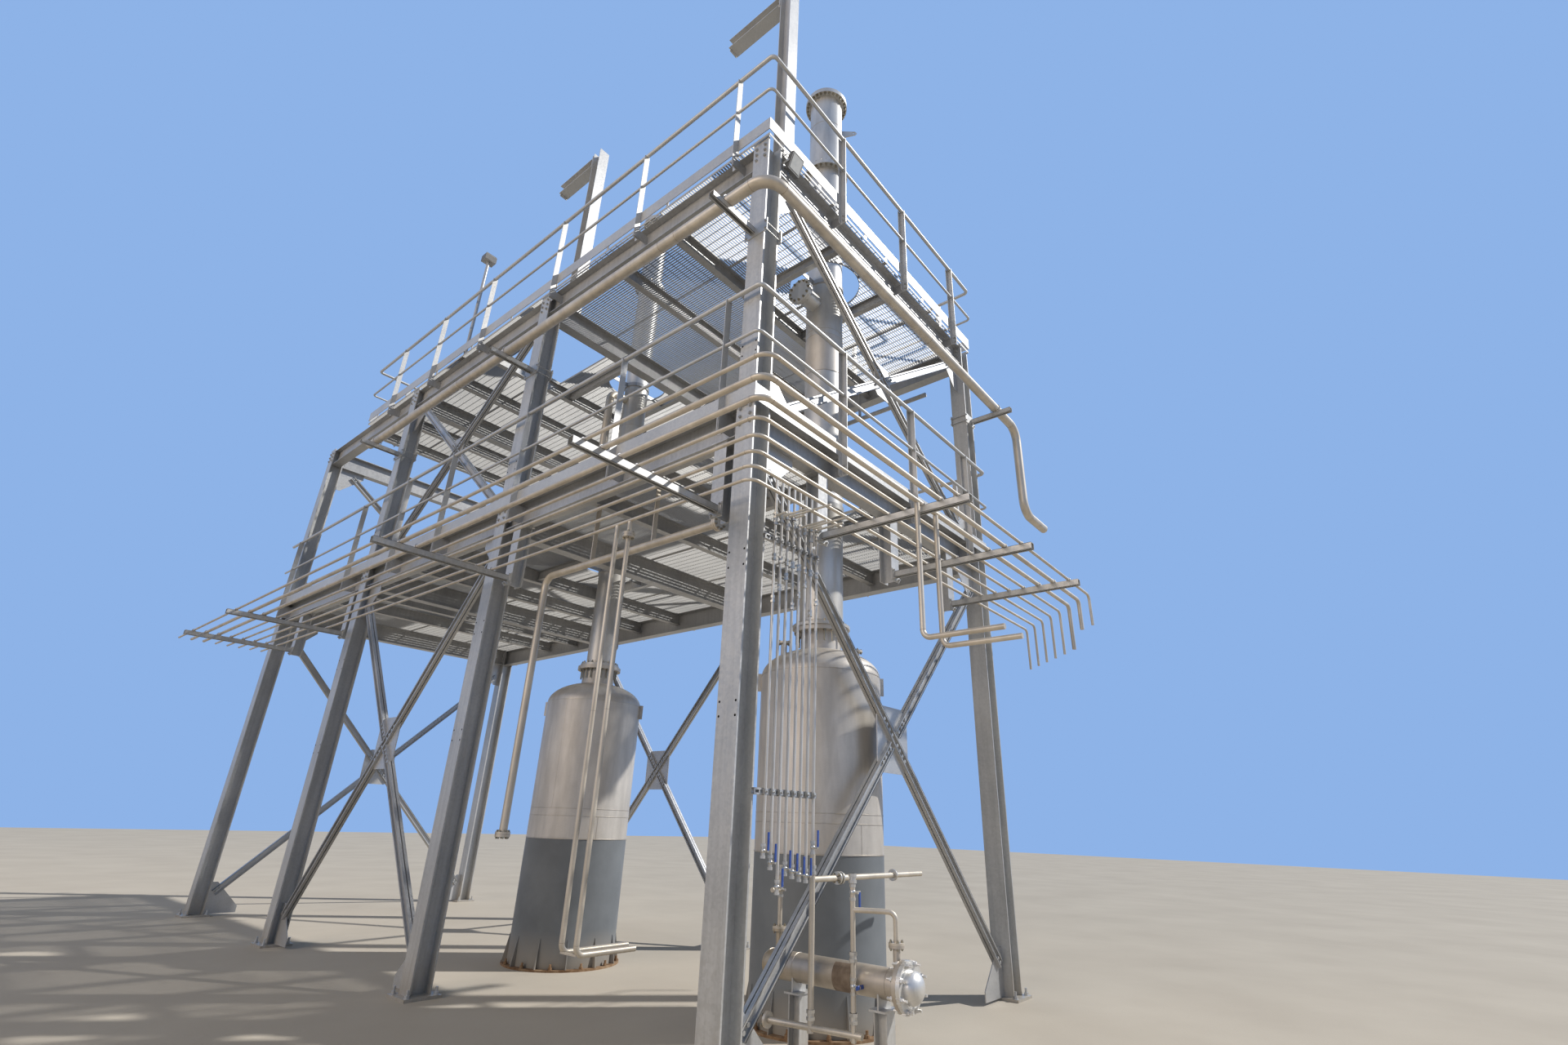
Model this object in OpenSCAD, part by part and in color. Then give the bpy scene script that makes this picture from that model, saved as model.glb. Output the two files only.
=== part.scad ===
// Distillation unit: two pot stills with tall columns, inside a galvanised steel frame
// with two grating decks, guardrails, a bank of small pipes and lifting posts.
// Units are mm. +Z is up. The origin is on the ground, under the middle of the near
// corner column. +X runs along the short face, +Y runs along the long face.

/* [Steel frame] */
// Distance between the two rows of columns
span_x = 4190; // [3000:10:6000]
// Length of the first bay of the long face
bay_1 = 3750; // [2500:10:5000]
// Length of the second bay
bay_2 = 3680; // [2500:10:5000]
// Length of the third bay
bay_3 = 3400; // [2500:10:5000]
// Depth and width of the column section
col_size = 200; // [150:10:300]
// Thickness of the column flanges
col_flange = 15; // [8:1:25]
// Thickness of the column web
col_web = 9; // [6:1:20]
// Height of the column tops
col_top = 7850; // [6000:10:9000]
// Side of the square base plates
base_side = 340; // [260:10:500]
// Thickness of the base plates
base_t = 25; // [15:1:50]
// Spacing of the anchor holes
anchor_pitch = 260; // [180:10:400]
// Diameter of the anchor holes
anchor_hole = 26; // [18:1:40]
// Gap left between parts that are bolted face to face
fit_gap = 0.3; // [0.1:0.1:1]

/* [Decks] */
// Height of the middle deck's floor
mid_z = 4810; // [3500:10:6000]
// Height of the upper deck's floor
top_z = 7860; // [6500:10:9000]
// Thickness of the grating
grate_t = 30; // [20:1:50]
// How far the grating reaches past the column rows
grate_over = 120; // [50:5:300]
// Openings of the grating between the column rows, across the deck
grate_cols = 9; // [4:1:12]
// Rows of openings in each bay
grate_rows = 4; // [2:1:4]
// Width of the bars between the openings
grate_rib = 60; // [40:5:100]
// Depth of the main deck beams
beam_h = 300; // [200:10:400]
// Width of the main deck beams
beam_b = 150; // [100:5:170]
// Flange thickness of the deck beams
beam_tf = 11; // [6:1:20]
// Web thickness of the deck beams
beam_tw = 8; // [5:1:15]
// Depth of the secondary joists
joist_h = 180; // [120:10:240]
// Width of the secondary joists
joist_b = 90; // [60:5:140]
// Radius of the holes in the decks round the columns of the stills
deck_hole_r = 440; // [350:10:600]
// Height of the toe plates
toe_h = 130; // [80:5:200]
// Thickness of the toe plates
toe_t = 8; // [5:1:12]

/* [Guardrails] */
// Height of the top rail's centre above the floor
rail_h = 1080; // [900:10:1200]
// Height of the middle rail above the floor
rail_mid_h = 580; // [400:10:700]
// Diameter of the top rail
rail_d = 46; // [33:1:60]
// Diameter of the middle rail
rail_mid_d = 32; // [20:1:48]
// Width of the flat posts
post_w = 80; // [50:5:100]
// Thickness of the flat posts
post_t = 12; // [8:1:20]
// Radius of the rails' corner bends
rail_bend = 55; // [50:5:70]

/* [Bracing] */
// Depth of a brace, seen square to its face
brace_h = 90; // [60:5:140]
// Thickness of a brace across the face
brace_t = 60; // [30:5:100]
// Width of the lower crossing plates
gusset_w = 520; // [300:10:700]
// Height of the lower crossing plates
gusset_h = 580; // [300:10:800]
// Width of the upper crossing plates
gusset_up_w = 320; // [200:10:500]
// Height of the upper crossing plates
gusset_up_h = 430; // [200:10:600]
// Thickness of the crossing plates
gusset_t = 10; // [6:1:20]

/* [Stills] */
// Distance of the stills' axes from the near row of columns
still_x = 1970; // [1500:10:2700]
// Distance of the first still from the short face
still_1_y = 730; // [720:10:1500]
// Distance of the second still from the short face
still_2_y = 4390; // [3800:10:5500]
// Radius of the pots
pot_r = 588; // [400:1:800]
// Wall of the pots
pot_wall = 8; // [4:1:15]
// Height of the painted skirt
skirt_top = 1297; // [800:1:2000]
// Height of the seam where the domed head starts
pot_top = 2866; // [2000:1:4000]
// Height of the domed head
dome_h = 285; // [150:5:400]
// Radius of the neck on the head
neck_r = 205; // [150:5:300]
// Height of the joint between pot and column
neck_z = 3360; // [3200:5:3600]
// Radius of the first still's column
shaft_1_r = 225; // [150:1:300]
// Radius of the second still's column
shaft_2_r = 178; // [120:1:260]
// Wall of the columns
shaft_wall = 6; // [3:1:12]
// Height of the columns' tops
shaft_top = 11150; // [9500:10:12500]
// Thickness of one flange
flange_t = 30; // [15:1:50]
// How far a flange stands out
flange_out = 70; // [40:5:120]

/* [Pipes] */
// Height of the bank of small pipes
bank_z = 3905; // [3700:5:4100]
// Pitch of the small pipes
bank_pitch = 157; // [100:1:250]
// Distance of the innermost pipe from the column rows
bank_in = 270; // [200:5:400]
// Diameter of the small pipes
bank_d = 28; // [20:1:50]
// Diameter of the two thicker pipes
bank_big_d = 42; // [30:1:60]
// Size of the pipe brackets
arm_size = 60; // [40:5:100]
// Height of the large pipe
main_z = 6740; // [6400:10:7200]
// Distance of the large pipe from the column rows
main_off = 450; // [300:10:700]
// Diameter of the large pipe
main_d = 114; // [60:1:170]
// Height of the low pipe under the middle deck
low_pipe_z = 3945; // [3600:5:4200]
// Diameter of the low pipe
low_pipe_d = 76; // [50:1:120]

/* [Exchanger] */
// Distance of the exchanger's axis from the near row of columns
hx_x = 900; // [850:10:1100]
// Height of the exchanger's axis
hx_z = 590; // [500:10:700]
// Radius of the exchanger's shell
hx_r = 92; // [60:1:120]
// Place of the exchanger's front flange along the long face
hx_front = -775; // [-900:5:-600]
// Length of the exchanger's shell
hx_len = 1125; // [900:5:1150]
// Height of the two nozzles' flange faces
hx_nozzle_z = 815; // [760:5:900]

/* [Hidden] */
ax = [0, span_x];
ay = [0, bay_1, bay_1 + bay_2, bay_1 + bay_2 + bay_3];
len_y = ay[3];
half = col_size / 2;
arm_z = bank_z - bank_big_d / 2 - arm_size;
rail_off = grate_over + toe_t + 2 * fit_gap + post_t / 2;
top_end = ay[2] + 1810;
mid_end = len_y + grate_over;
rail_end_y = mid_end + 150;
joist_tf = 8;
joist_tw = 6;
trim_h = 140;
trim_b = 74;
trim_tf = 7;
trim_tw = 5;
trim_off = deck_hole_r + 80;
joist_rows = [still_1_y + 770, still_1_y + 1720, still_2_y + 1010, still_2_y + 2010,
              ay[2] + 860, ay[2] + 1760];
joint_z = shaft_top - 1410;
$fn = 48;

// Section of a rolled beam, depth along Y
module i_profile(h, b, tf, tw) {
    polygon([[-b / 2, -h / 2], [b / 2, -h / 2], [b / 2, -h / 2 + tf], [tw / 2, -h / 2 + tf],
             [tw / 2, h / 2 - tf], [b / 2, h / 2 - tf], [b / 2, h / 2], [-b / 2, h / 2],
             [-b / 2, h / 2 - tf], [-tw / 2, h / 2 - tf], [-tw / 2, -h / 2 + tf], [-b / 2, -h / 2 + tf]]);
}

// Rolled beam along X from x0 to x1, its top at z
module beam_x(x0, x1, y, z, h, b, tf, tw) {
    translate([x0, y, z - h / 2]) rotate([90, 0, 90]) linear_extrude(x1 - x0) i_profile(h, b, tf, tw);
}

// Rolled beam along Y from y0 to y1, its top at z
module beam_y(x, y0, y1, z, h, b, tf, tw) {
    translate([x, y1, z - h / 2]) rotate([90, 0, 0]) linear_extrude(y1 - y0) i_profile(h, b, tf, tw);
}

// Bar from one point to another
module rod(a, b, d) {
    v = b - a;
    l = norm(v);
    translate(a) rotate([0, acos(v[2] / l), atan2(v[1], v[0])]) cylinder(h = l, r = d / 2);
}

// Base plate of a column, with four anchor holes
module base_plate(x, y) {
    translate([x, y, 0]) difference() {
        translate([-base_side / 2, -base_side / 2, 0]) cube([base_side, base_side, base_t]);
        for (i = [-1, 1], j = [-1, 1])
            translate([i * anchor_pitch / 2, j * anchor_pitch / 2, -1])
                cylinder(h = base_t + 2, r = anchor_hole / 2);
    }
}
module base_plates() { color("#a8a9a4") for (x = ax, y = ay) base_plate(x, y); }

// Column, standing on its base plate
module column(x, y) {
    translate([x, y, base_t + fit_gap]) linear_extrude(col_top - base_t - fit_gap)
        rotate(90) i_profile(col_size, col_size, col_flange, col_web);
}
module columns_near() { color("#b9bab5") for (y = ay) column(ax[0], y); }
module columns_far() { color("#b9bab5") for (y = ay) column(ax[1], y); }

// Beams between the columns, under one deck
module deck_beams(floor_z) {
    z = floor_z - grate_t - fit_gap;
    for (y = ay)
        beam_x(half + fit_gap, span_x - half - fit_gap, y, z, beam_h, beam_b, beam_tf, beam_tw);
    for (x = ax, i = [0:2])
        beam_y(x, ay[i] + col_web / 2 + fit_gap, ay[i + 1] - col_web / 2 - fit_gap,
               z, beam_h, beam_b, beam_tf, beam_tw);
}
module mid_beams() { color("#a9aaa5") deck_beams(mid_z); }
module top_beams() { color("#a9aaa5") deck_beams(top_z); }

// Secondary joists across one deck, and the trimmers beside each still
module deck_joists(floor_z) {
    z = floor_z - grate_t - fit_gap - beam_tf - fit_gap;
    inner = beam_tw / 2 + fit_gap;
    for (y = joist_rows) beam_x(inner, span_x - inner, y, z, joist_h, joist_b, joist_tf, joist_tw);
    for (x = [still_x - trim_off, still_x + trim_off], i = [0, 1])
        beam_y(x, ay[i] + inner, joist_rows[2 * i] - joist_tw / 2 - fit_gap,
               z - joist_tf - fit_gap, trim_h, trim_b, trim_tf, trim_tw);
}
module mid_joists() { color("#a9aaa5") deck_joists(mid_z); }
module top_joists() { color("#a9aaa5") deck_joists(top_z); }

// Guides under each deck: a ring round a still's column, with an arm to the trimmer on each side
guide_t = 12;
guide_h = 60;
module shaft_guide(r, floor_z) {
    reach = trim_off - trim_tw / 2 - fit_gap;
    z = floor_z - grate_t - beam_tf - joist_tf - 3 * fit_gap - (trim_h + guide_h) / 2;
    translate([0, 0, z]) {
        tube(guide_h, r + fit_gap + guide_t, guide_t);
        for (a = [0, 180]) rotate(a) translate([r + fit_gap + guide_t / 2, -guide_t / 2, 0])
            cube([reach - r - fit_gap - guide_t / 2, guide_t, guide_h]);
    }
}
module shaft_guides() {
    color("#a9aaa5") for (z = [mid_z, top_z]) {
        on_still(still_1_y) shaft_guide(shaft_1_r, z);
        on_still(still_2_y) shaft_guide(shaft_2_r, z);
    }
}

// Plain grid of openings in one bay, clear of the column rows, the stills' holes and the hatch
function off_range(v, a, b) = max(a - v, v - b, 0);
module grating_grid(y0, y1, hatch) {
    edge = half + 20;
    dx = (span_x - 2 * edge) / grate_cols;
    dy = (y1 - y0 - 2 * edge) / grate_rows;
    for (i = [0:grate_cols - 1], j = [0:grate_rows - 1]) {
        a = edge + i * dx + grate_rib / 2;
        b = a + dx - grate_rib;
        c = y0 + edge + j * dy + grate_rib / 2;
        d = c + dy - grate_rib;
        away = min([for (y = [still_1_y, still_2_y]) norm([off_range(still_x, a, b), off_range(y, c, d)])]);
        in_hatch = hatch && a < hatch_x1 + grate_rib && d > hatch_y0 - grate_rib && c < hatch_y0 + hatch_l + grate_rib;
        if (away > deck_hole_r + grate_rib && !in_hatch) translate([a, c]) square([b - a, d - c]);
    }
}
// One bay of grating, with notches for the columns and holes for the stills
hatch_x0 = 340;
hatch_x1 = still_x - trim_off - 240;
hatch_y0 = ay[1] + 350;
hatch_l = 1250;
module grating(floor_z, y0, y1, hatch) {
    translate([0, 0, floor_z - grate_t]) linear_extrude(grate_t) difference() {
        translate([-grate_over, y0]) square([span_x + 2 * grate_over, y1 - y0]);
        for (x = ax, y = ay) translate([x - half - 12, y - half - 12]) square(col_size + 24);
        translate([still_x, still_1_y]) circle(r = deck_hole_r);
        translate([still_x, still_2_y]) circle(r = deck_hole_r);
        if (hatch) translate([hatch_x0, hatch_y0]) square([hatch_x1 - hatch_x0, hatch_l]);
        grating_grid(y0, y1, hatch);
    }
}
module deck_grating(floor_z, end_y, hatch) {
    grating(floor_z, -grate_over, ay[1] - 2, false);
    grating(floor_z, ay[1] + 2, ay[2] - 2, hatch);
    grating(floor_z, ay[2] + 2, end_y, false);
}
module mid_grating() { color("#c9cac6") deck_grating(mid_z, mid_end, false); }
module top_grating() { color("#c9cac6") deck_grating(top_z, top_end, true); }

// Toe plates round one deck, one bar a side
module toe_plates(floor_z, end_y) {
    o = grate_over + fit_gap;
    z = floor_z - grate_t + 18;
    translate([-o - toe_t, -o - toe_t, z]) cube([span_x + 2 * (o + toe_t), toe_t, toe_h]);
    for (x = [-o - toe_t, span_x + o])
        translate([x, -o + fit_gap, z]) cube([toe_t, end_y + o - 2 * fit_gap, toe_h]);
    translate([-o - toe_t, end_y + fit_gap, z]) cube([span_x + 2 * (o + toe_t), toe_t, toe_h]);
}
module mid_toe() { color("#d4d5d1") toe_plates(mid_z, mid_end); }
module top_toe() { color("#d4d5d1") toe_plates(top_z, top_end); }

// Guardrail along X: two rails from x0 to x1 on flat posts
module rail_run(x0, x1, posts, floor_z) {
    for (r = [[rail_h, rail_d], [rail_mid_h, rail_mid_d]])
        translate([x0, 0, floor_z + r[0]]) rotate([0, 90, 0]) cylinder(h = x1 - x0, r = r[1] / 2);
    for (p = posts)
        translate([p - post_w / 2, -post_t / 2, floor_z - 10]) cube([post_w, post_t, rail_h + 10]);
}
// Quarter bends of both rails, starting along X and turning to Y, butted to the straight rails
module rail_corner(floor_z) {
    for (r = [[rail_h, rail_d], [rail_mid_h, rail_mid_d]])
        translate([0, 0, floor_z + r[0]]) rotate_extrude(angle = 90)
            translate([rail_bend, 0]) circle(r = r[1] / 2);
}
module rail_short(floor_z) {
    x0 = -rail_off + rail_bend;
    x1 = span_x + rail_off - rail_bend;
    translate([0, -rail_off, 0])
        rail_run(x0 + fit_gap, x1 - fit_gap, [1100, span_x - 1750, span_x - 430], floor_z);
    translate([x0, -rail_off + rail_bend, 0]) rotate(180) rail_corner(floor_z);
    translate([x1, -rail_off + rail_bend, 0]) rotate(270) rail_corner(floor_z);
}
module rail_end(floor_z, end_y) {
    x0 = -rail_off + rail_bend;
    x1 = span_x + rail_off - rail_bend;
    y = end_y - grate_over + rail_off;
    translate([0, y, 0])
        rail_run(x0 + fit_gap, x1 - fit_gap, [400, 1500, 2600, span_x - 430], floor_z);
    translate([x0, y - rail_bend, 0]) rotate(90) rail_corner(floor_z);
    translate([x1, y - rail_bend, 0]) rail_corner(floor_z);
}
module rail_long(x, y1, posts, floor_z) {
    translate([x, 0, 0]) rotate(90) rail_run(-rail_off + rail_bend + fit_gap, y1, posts, floor_z);
}
long_posts = [230, ay[1] - 2050, ay[1] - 300, ay[2] - 2230, ay[2] - 930, ay[2] + 570];
module rails_along(floor_z, y1, posts) {
    for (x = [-rail_off, span_x + rail_off]) rail_long(x, y1, posts, floor_z);
}
module top_rails_across() {
    color("#c4c5c1") {
        rail_short(top_z);
        rail_end(top_z, top_end);
    }
}
module top_rails_along() {
    color("#c4c5c1")
        rails_along(top_z, top_end - grate_over + rail_off - rail_bend - fit_gap, long_posts);
}
// The middle deck's far end is open, with plain rail ends
module mid_rails_across() { color("#c4c5c1") rail_short(mid_z); }
module mid_rails_along() {
    color("#c4c5c1") rails_along(mid_z, rail_end_y, concat(long_posts, [mid_end - 250]));
}

// Channel section of a brace, its back on the Y axis
module channel(h, b, t) {
    polygon([[0, -h / 2], [b, -h / 2], [b, -h / 2 + t], [t, -h / 2 + t], [t, h / 2 - t], [b, h / 2 - t],
             [b, h / 2], [0, h / 2]]);
}
// Two channels back to back in the XZ plane, from one point towards another, u and v along the line
module brace_pair(x0, z0, x1, z1, u, v) {
    a = atan2(z1 - z0, x1 - x0);
    translate([x0, 0, z0]) rotate([0, -a, 0]) for (s = [0, 1])
        mirror([0, s, 0]) translate([u, gusset_t / 2 + fit_gap, 0])
            rotate([90, 0, 90]) linear_extrude(v - u) channel(brace_h, brace_t / 2, 7);
}
// Crossing braces in the XZ plane between x0 and x1: one runs through, the other is in two halves
module cross(x0, x1, z0, z1, cut, w, h) {
    l = norm([x1 - x0, z1 - z0]);
    mid = 70;
    brace_pair(x0, z1, x1, z0, cut, l - cut);
    brace_pair(x0, z0, x1, z1, cut, l / 2 - mid);
    brace_pair(x0, z0, x1, z1, l / 2 + mid, l - cut);
    translate([(x0 + x1) / 2, gusset_t / 2, (z0 + z1) / 2]) rotate([90, 0, 0]) linear_extrude(gusset_t)
        crossing_outline(w / 2, h / 2, w / 6);
}
// Upright plate with its corners cut off
module crossing_outline(u, v, c) {
    polygon([[u - c, -v], [u, -v + c], [u, v - c], [u - c, v], [-u + c, v], [-u, v - c], [-u, -v + c],
             [-u + c, -v]]);
}
// Corner plate of a brace in the XZ plane, welded to a column and running along a beam
module corner_plate(sx, sz) {
    translate([0, gusset_t / 2, 0]) rotate([90, 0, 0]) linear_extrude(gusset_t)
        scale([sx, sz]) polygon([[0, 0], [430, 0], [430, 90], [90, 430], [0, 430]]);
}
module cross_x(y, z0, z1, p0, p1, cut, w, h) {
    translate([0, y, 0]) cross(0, span_x, z0, z1, cut, w, h);
    for (s = [0, 1]) translate([s * span_x, y, 0]) mirror([s, 0, 0]) {
        translate([half + fit_gap, 0, p0]) corner_plate(1, 1);
        translate([half + fit_gap, 0, p1]) corner_plate(1, -1);
    }
}
module cross_y(x, y0, y1, z0, z1, p0, p1, cut, w, h) {
    translate([x, y0, 0]) rotate(90) {
        cross(0, y1 - y0, z0, z1, cut, w, h);
        for (s = [0, 1]) translate([s * (y1 - y0), 0, 0]) mirror([s, 0, 0]) {
            translate([col_web / 2 + fit_gap, 0, p0]) corner_plate(1, 1);
            translate([col_web / 2 + fit_gap, 0, p1]) corner_plate(1, -1);
        }
    }
}
low_a = 130;
low_b = mid_z - 420;
up_a = mid_z - 170;
up_b = top_z - 190;
beam_low = grate_t + beam_h + 2 * fit_gap;
low_p = [base_t + fit_gap, mid_z - beam_low];
up_p = [mid_z + fit_gap, top_z - beam_low];
module braces_x(y) {
    cross_x(y, low_a, low_b, low_p[0], low_p[1], 250, gusset_w, gusset_h);
    cross_x(y, up_a, up_b, up_p[0], up_p[1], 420, gusset_up_w, gusset_up_h);
}
module braces_y(x) {
    cross_y(x, ay[1], ay[2], low_a, low_b, low_p[0], low_p[1], 250, gusset_w, gusset_h);
    cross_y(x, ay[1], ay[2], up_a, up_b, up_p[0], up_p[1], 420, gusset_up_w, gusset_up_h);
}
module braces_short() { color("#aeb0ac") braces_x(ay[0]); }
module braces_end() { color("#aeb0ac") braces_x(ay[3]); }
module braces_near() { color("#aeb0ac") braces_y(ax[0]); }
module braces_far() { color("#aeb0ac") braces_y(ax[1]); }

// Hangers under the middle deck that carry the pipe brackets
arm_x = [900, span_x / 2 + 35, span_x - 840];
arm_y = [290, ay[1] - 350, ay[2] + 370, ay[2] + 2370];
hang = 70;
arm_len = bank_in + 7 * bank_pitch + 100 - hang;
module hanger(z_top) {
    translate([0, 0, arm_z - 40]) linear_extrude(z_top - arm_z + 40) i_profile(2 * hang, 2 * hang, 10, 7);
}
module bank_hangers() {
    color("#b3b4b0") {
        for (x = arm_x) translate([x, 0, 0]) hanger(mid_z - beam_low);
        for (y = arm_y) translate([0, y, 0]) rotate(90) hanger(mid_z - beam_low);
    }
}
module bank_arms() {
    color("#9fa19d") {
        for (x = arm_x)
            translate([x - arm_size / 2, -hang - fit_gap - arm_len, arm_z])
                cube([arm_size, arm_len, arm_size]);
        for (y = arm_y)
            translate([-hang - fit_gap - arm_len, y - arm_size / 2, arm_z])
                cube([arm_len, arm_size, arm_size]);
    }
}

// Bank of small pipes: runs along the long face, bends at the corner, runs along the short face
bank_r = 90;
bank_end_y = len_y - 230;
function bank_off(i) = bank_in + i * bank_pitch;
function bank_dia(i) = (i == 6 || i == 5) ? bank_big_d : bank_d;
function bank_axis(i) = arm_z + arm_size + fit_gap + bank_dia(i) / 2;
module bank_long() {
    color("#a89a86") for (i = [0:7]) {
        o = bank_off(i);
        d = bank_dia(i);
        translate([-o, -o + bank_r, bank_axis(i)]) {
            rotate([-90, 0, 0]) cylinder(h = bank_end_y + o - bank_r, r = d / 2);
            translate([bank_r, 0, 0]) rotate(180) rotate_extrude(angle = 90)
                translate([bank_r, 0]) circle(r = d / 2);
        }
    }
}
module bank_short() {
    color("#a89a86") for (i = [0:7]) {
        o = bank_off(i);
        d = bank_dia(i);
        x1 = 5000 - i * 110;
        r = 60;
        translate([-o + bank_r + fit_gap, -o, bank_axis(i)]) rotate([0, 90, 0])
            cylinder(h = x1 + o - bank_r - fit_gap, r = d / 2);
        translate([x1, -o, bank_axis(i) - r]) {
            rotate([90, 0, 0]) rotate_extrude(angle = 90) translate([r, 0]) circle(r = d / 2);
            translate([r, 0, -420]) cylinder(h = 420, r = d / 2);
        }
    }
}

// Large pipe at the upper deck, on arms bolted to the columns
main_r = 200;
module main_arms() {
    color("#9fa19d") {
        z = main_z - main_d / 2 - fit_gap - arm_size;
        for (y = [ay[0] + 40, ay[1], ay[2]])
            translate([-half - fit_gap - 560, y - arm_size / 2, z]) cube([560, arm_size, arm_size]);
        translate([span_x + 30, -half - fit_gap - 560, z]) cube([arm_size, 555, arm_size]);
        translate([span_x - half, -half - fit_gap - 12, z - 60]) cube([col_size, 12, 180]);
    }
}
module main_pipe_long() {
    color("#a89a86") translate([-main_off, -main_off + main_r, main_z]) {
        rotate([-90, 0, 0]) cylinder(h = ay[2] + 250 + main_off - main_r, r = main_d / 2);
        translate([main_r, 0, 0]) rotate(180) rotate_extrude(angle = 90)
            translate([main_r, 0]) circle(r = main_d / 2);
    }
}
module main_pipe_short() {
    x0 = -main_off + main_r + fit_gap;
    x1 = 4720;
    drop = 890;
    color("#a89a86") {
        translate([x0, -main_off, main_z]) rotate([0, 90, 0]) cylinder(h = x1 - x0, r = main_d / 2);
        translate([x1, -main_off, main_z - main_r]) rotate([90, 0, 0]) {
            rotate_extrude(angle = 90) translate([main_r, 0]) circle(r = main_d / 2);
            translate([main_r, -drop, 0]) rotate([-90, 0, 0]) cylinder(h = drop, r = main_d / 2);
            translate([2 * main_r, -drop, 0]) rotate(180) rotate_extrude(angle = 90)
                translate([main_r, 0]) circle(r = main_d / 2);
            translate([2 * main_r, -drop - main_r, 0]) rotate([0, 90, 0]) cylinder(h = 480, r = main_d / 2);
        }
    }
}

// Lifting posts on the upper deck, each with a level arm
lift_w = 160;
lift_top = shaft_top - 150;
lift_arm = 870;
module lift_post(y) {
    translate([360, y, top_z + fit_gap]) {
        translate([-130, -110, 0]) cube([260, 220, 15]);
        translate([0, 0, 15]) linear_extrude(lift_top - top_z - 15 - fit_gap) i_profile(lift_w, lift_w, 9, 6);
    }
    y0 = y + lift_w / 2 + fit_gap;
    beam_y(360, y0, y0 + lift_arm, lift_top - lift_w / 2, lift_w, lift_w, 9, 6);
}
module lifting_posts() {
    color("#c9cac6") {
        lift_post(110);
        lift_post(ay[1] + 112);
    }
}

// Lamp post on the upper deck, with its lamp on top
module lamp_post() {
    color("#9b9d9a") translate([-60, ay[1] + 2250, top_z + fit_gap]) {
        translate([-50, -70, 0]) cube([100, 140, 10]);
        cylinder(h = 1900, r = 24);
        translate([-90, -70, 1880]) cube([180, 140, 110]);
    }
}

// Hoist rail: a round bar on flat hangers from the joists of the upper deck
hoist_z = 7130;
hoist_x = span_x - 260;
module hoist_rail() {
    z1 = top_z - grate_t - beam_tf - 3 * fit_gap - joist_h;
    color("#8f918e") {
        translate([hoist_x, 400, hoist_z]) rotate([-90, 0, 0]) cylinder(h = 2500, r = 32);
        for (i = [0, 1])
            translate([hoist_x - 30, joist_rows[i] - 6, hoist_z + 20])
                cube([60, 12, z1 - hoist_z - 20 - fit_gap]);
    }
}

// Pipe with a quarter bend at its foot: down to z0 along the Z axis, then out to x1 along +X
module bent_foot(z1, z0, x1, d) {
    r = 1.5 * d;
    translate([0, 0, z0 + r]) cylinder(h = z1 - z0 - r, r = d / 2);
    translate([r, 0, z0 + r]) rotate([90, 0, 0]) rotate(180) rotate_extrude(angle = 90)
        translate([r, 0]) circle(r = d / 2);
    translate([r, 0, z0]) rotate([0, 90, 0]) cylinder(h = x1 - r, r = d / 2);
}
module flange(z, d) { translate([0, 0, z]) cylinder(h = 44, r = d / 2 + 32); }

// Two risers beside the near row, one hung from the bank's inner pipe
riser_d = 40;
riser_z = 650;
riser_y = [1130, 1300];
module risers() {
    z1 = bank_axis(0) - bank_dia(0) / 2 - fit_gap;
    color("#a89a86") {
        translate([-bank_in, riser_y[0], 0]) {
            bent_foot(z1, riser_z, 520, riser_d);
            flange(z1 - 150, riser_d);
        }
        translate([-bank_in, riser_y[1], 0]) bent_foot(z1, riser_z, 590, riser_d);
        translate([-bank_in, riser_y[0] - 6, riser_z - 6]) cube([12, riser_y[1] - riser_y[0] + 12, 12]);
    }
}

// Two pipes that drop from the bank before the short face and turn outwards
drop_z = 2800;
module drop_pipes() {
    z1 = bank_axis(5) - bank_dia(5) / 2 - fit_gap;
    color("#a89a86") for (x = [815, 1120])
        translate([x, -bank_off(5), 0]) rotate(-90) bent_foot(z1, drop_z, 620, bank_big_d);
}

// Low pipe under the middle deck, on flat hangers from two joists, turned down at its far end
low_pipe_x = 300;
low_pipe_y = [610, 3260];
module low_pipe() {
    r = 1.5 * low_pipe_d;
    z1 = mid_z - grate_t - beam_tf - 3 * fit_gap - joist_h;
    color("#a89a86") translate([low_pipe_x, 0, 0]) {
        translate([0, low_pipe_y[0], low_pipe_z]) rotate([-90, 0, 0]) {
            cylinder(h = low_pipe_y[1] - low_pipe_y[0] - r, r = low_pipe_d / 2);
            flange(0, low_pipe_d);
        }
        translate([0, low_pipe_y[1], 0]) {
            translate([0, -r, low_pipe_z - r]) rotate([90, 0, 90]) rotate_extrude(angle = 90)
                translate([r, 0]) circle(r = low_pipe_d / 2);
            translate([0, 0, 1350]) cylinder(h = low_pipe_z - r - 1350, r = low_pipe_d / 2);
            flange(1330, low_pipe_d);
        }
        for (i = [0, 1])
            translate([-25, joist_rows[i] - 6, low_pipe_z + 20])
                cube([50, 12, z1 - low_pipe_z - 20 - fit_gap]);
    }
}

// Pipe beside the second still's column, entering it above and below
riser_in_d = 114;
module still_riser() {
    r = 130;
    x = -shaft_2_r - 280;
    color("#a89a86") on_still(still_2_y) difference() {
        for (m = [0, 1]) translate([0, 0, (mid_z + top_z) / 2]) mirror([0, 0, m]) {
            translate([x, 0, 0]) cylinder(h = 1000, r = riser_in_d / 2);
            translate([x + r, 0, 1000]) rotate([90, 0, 0]) rotate([0, 0, 90]) rotate_extrude(angle = 90)
                translate([r, 0]) circle(r = riser_in_d / 2);
            translate([x + r, 0, 1000 + r]) rotate([0, 90, 0]) cylinder(h = -x - r - 100, r = riser_in_d / 2);
        }
        cylinder(h = shaft_top, r = shaft_2_r + fit_gap);
    }
}

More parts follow.
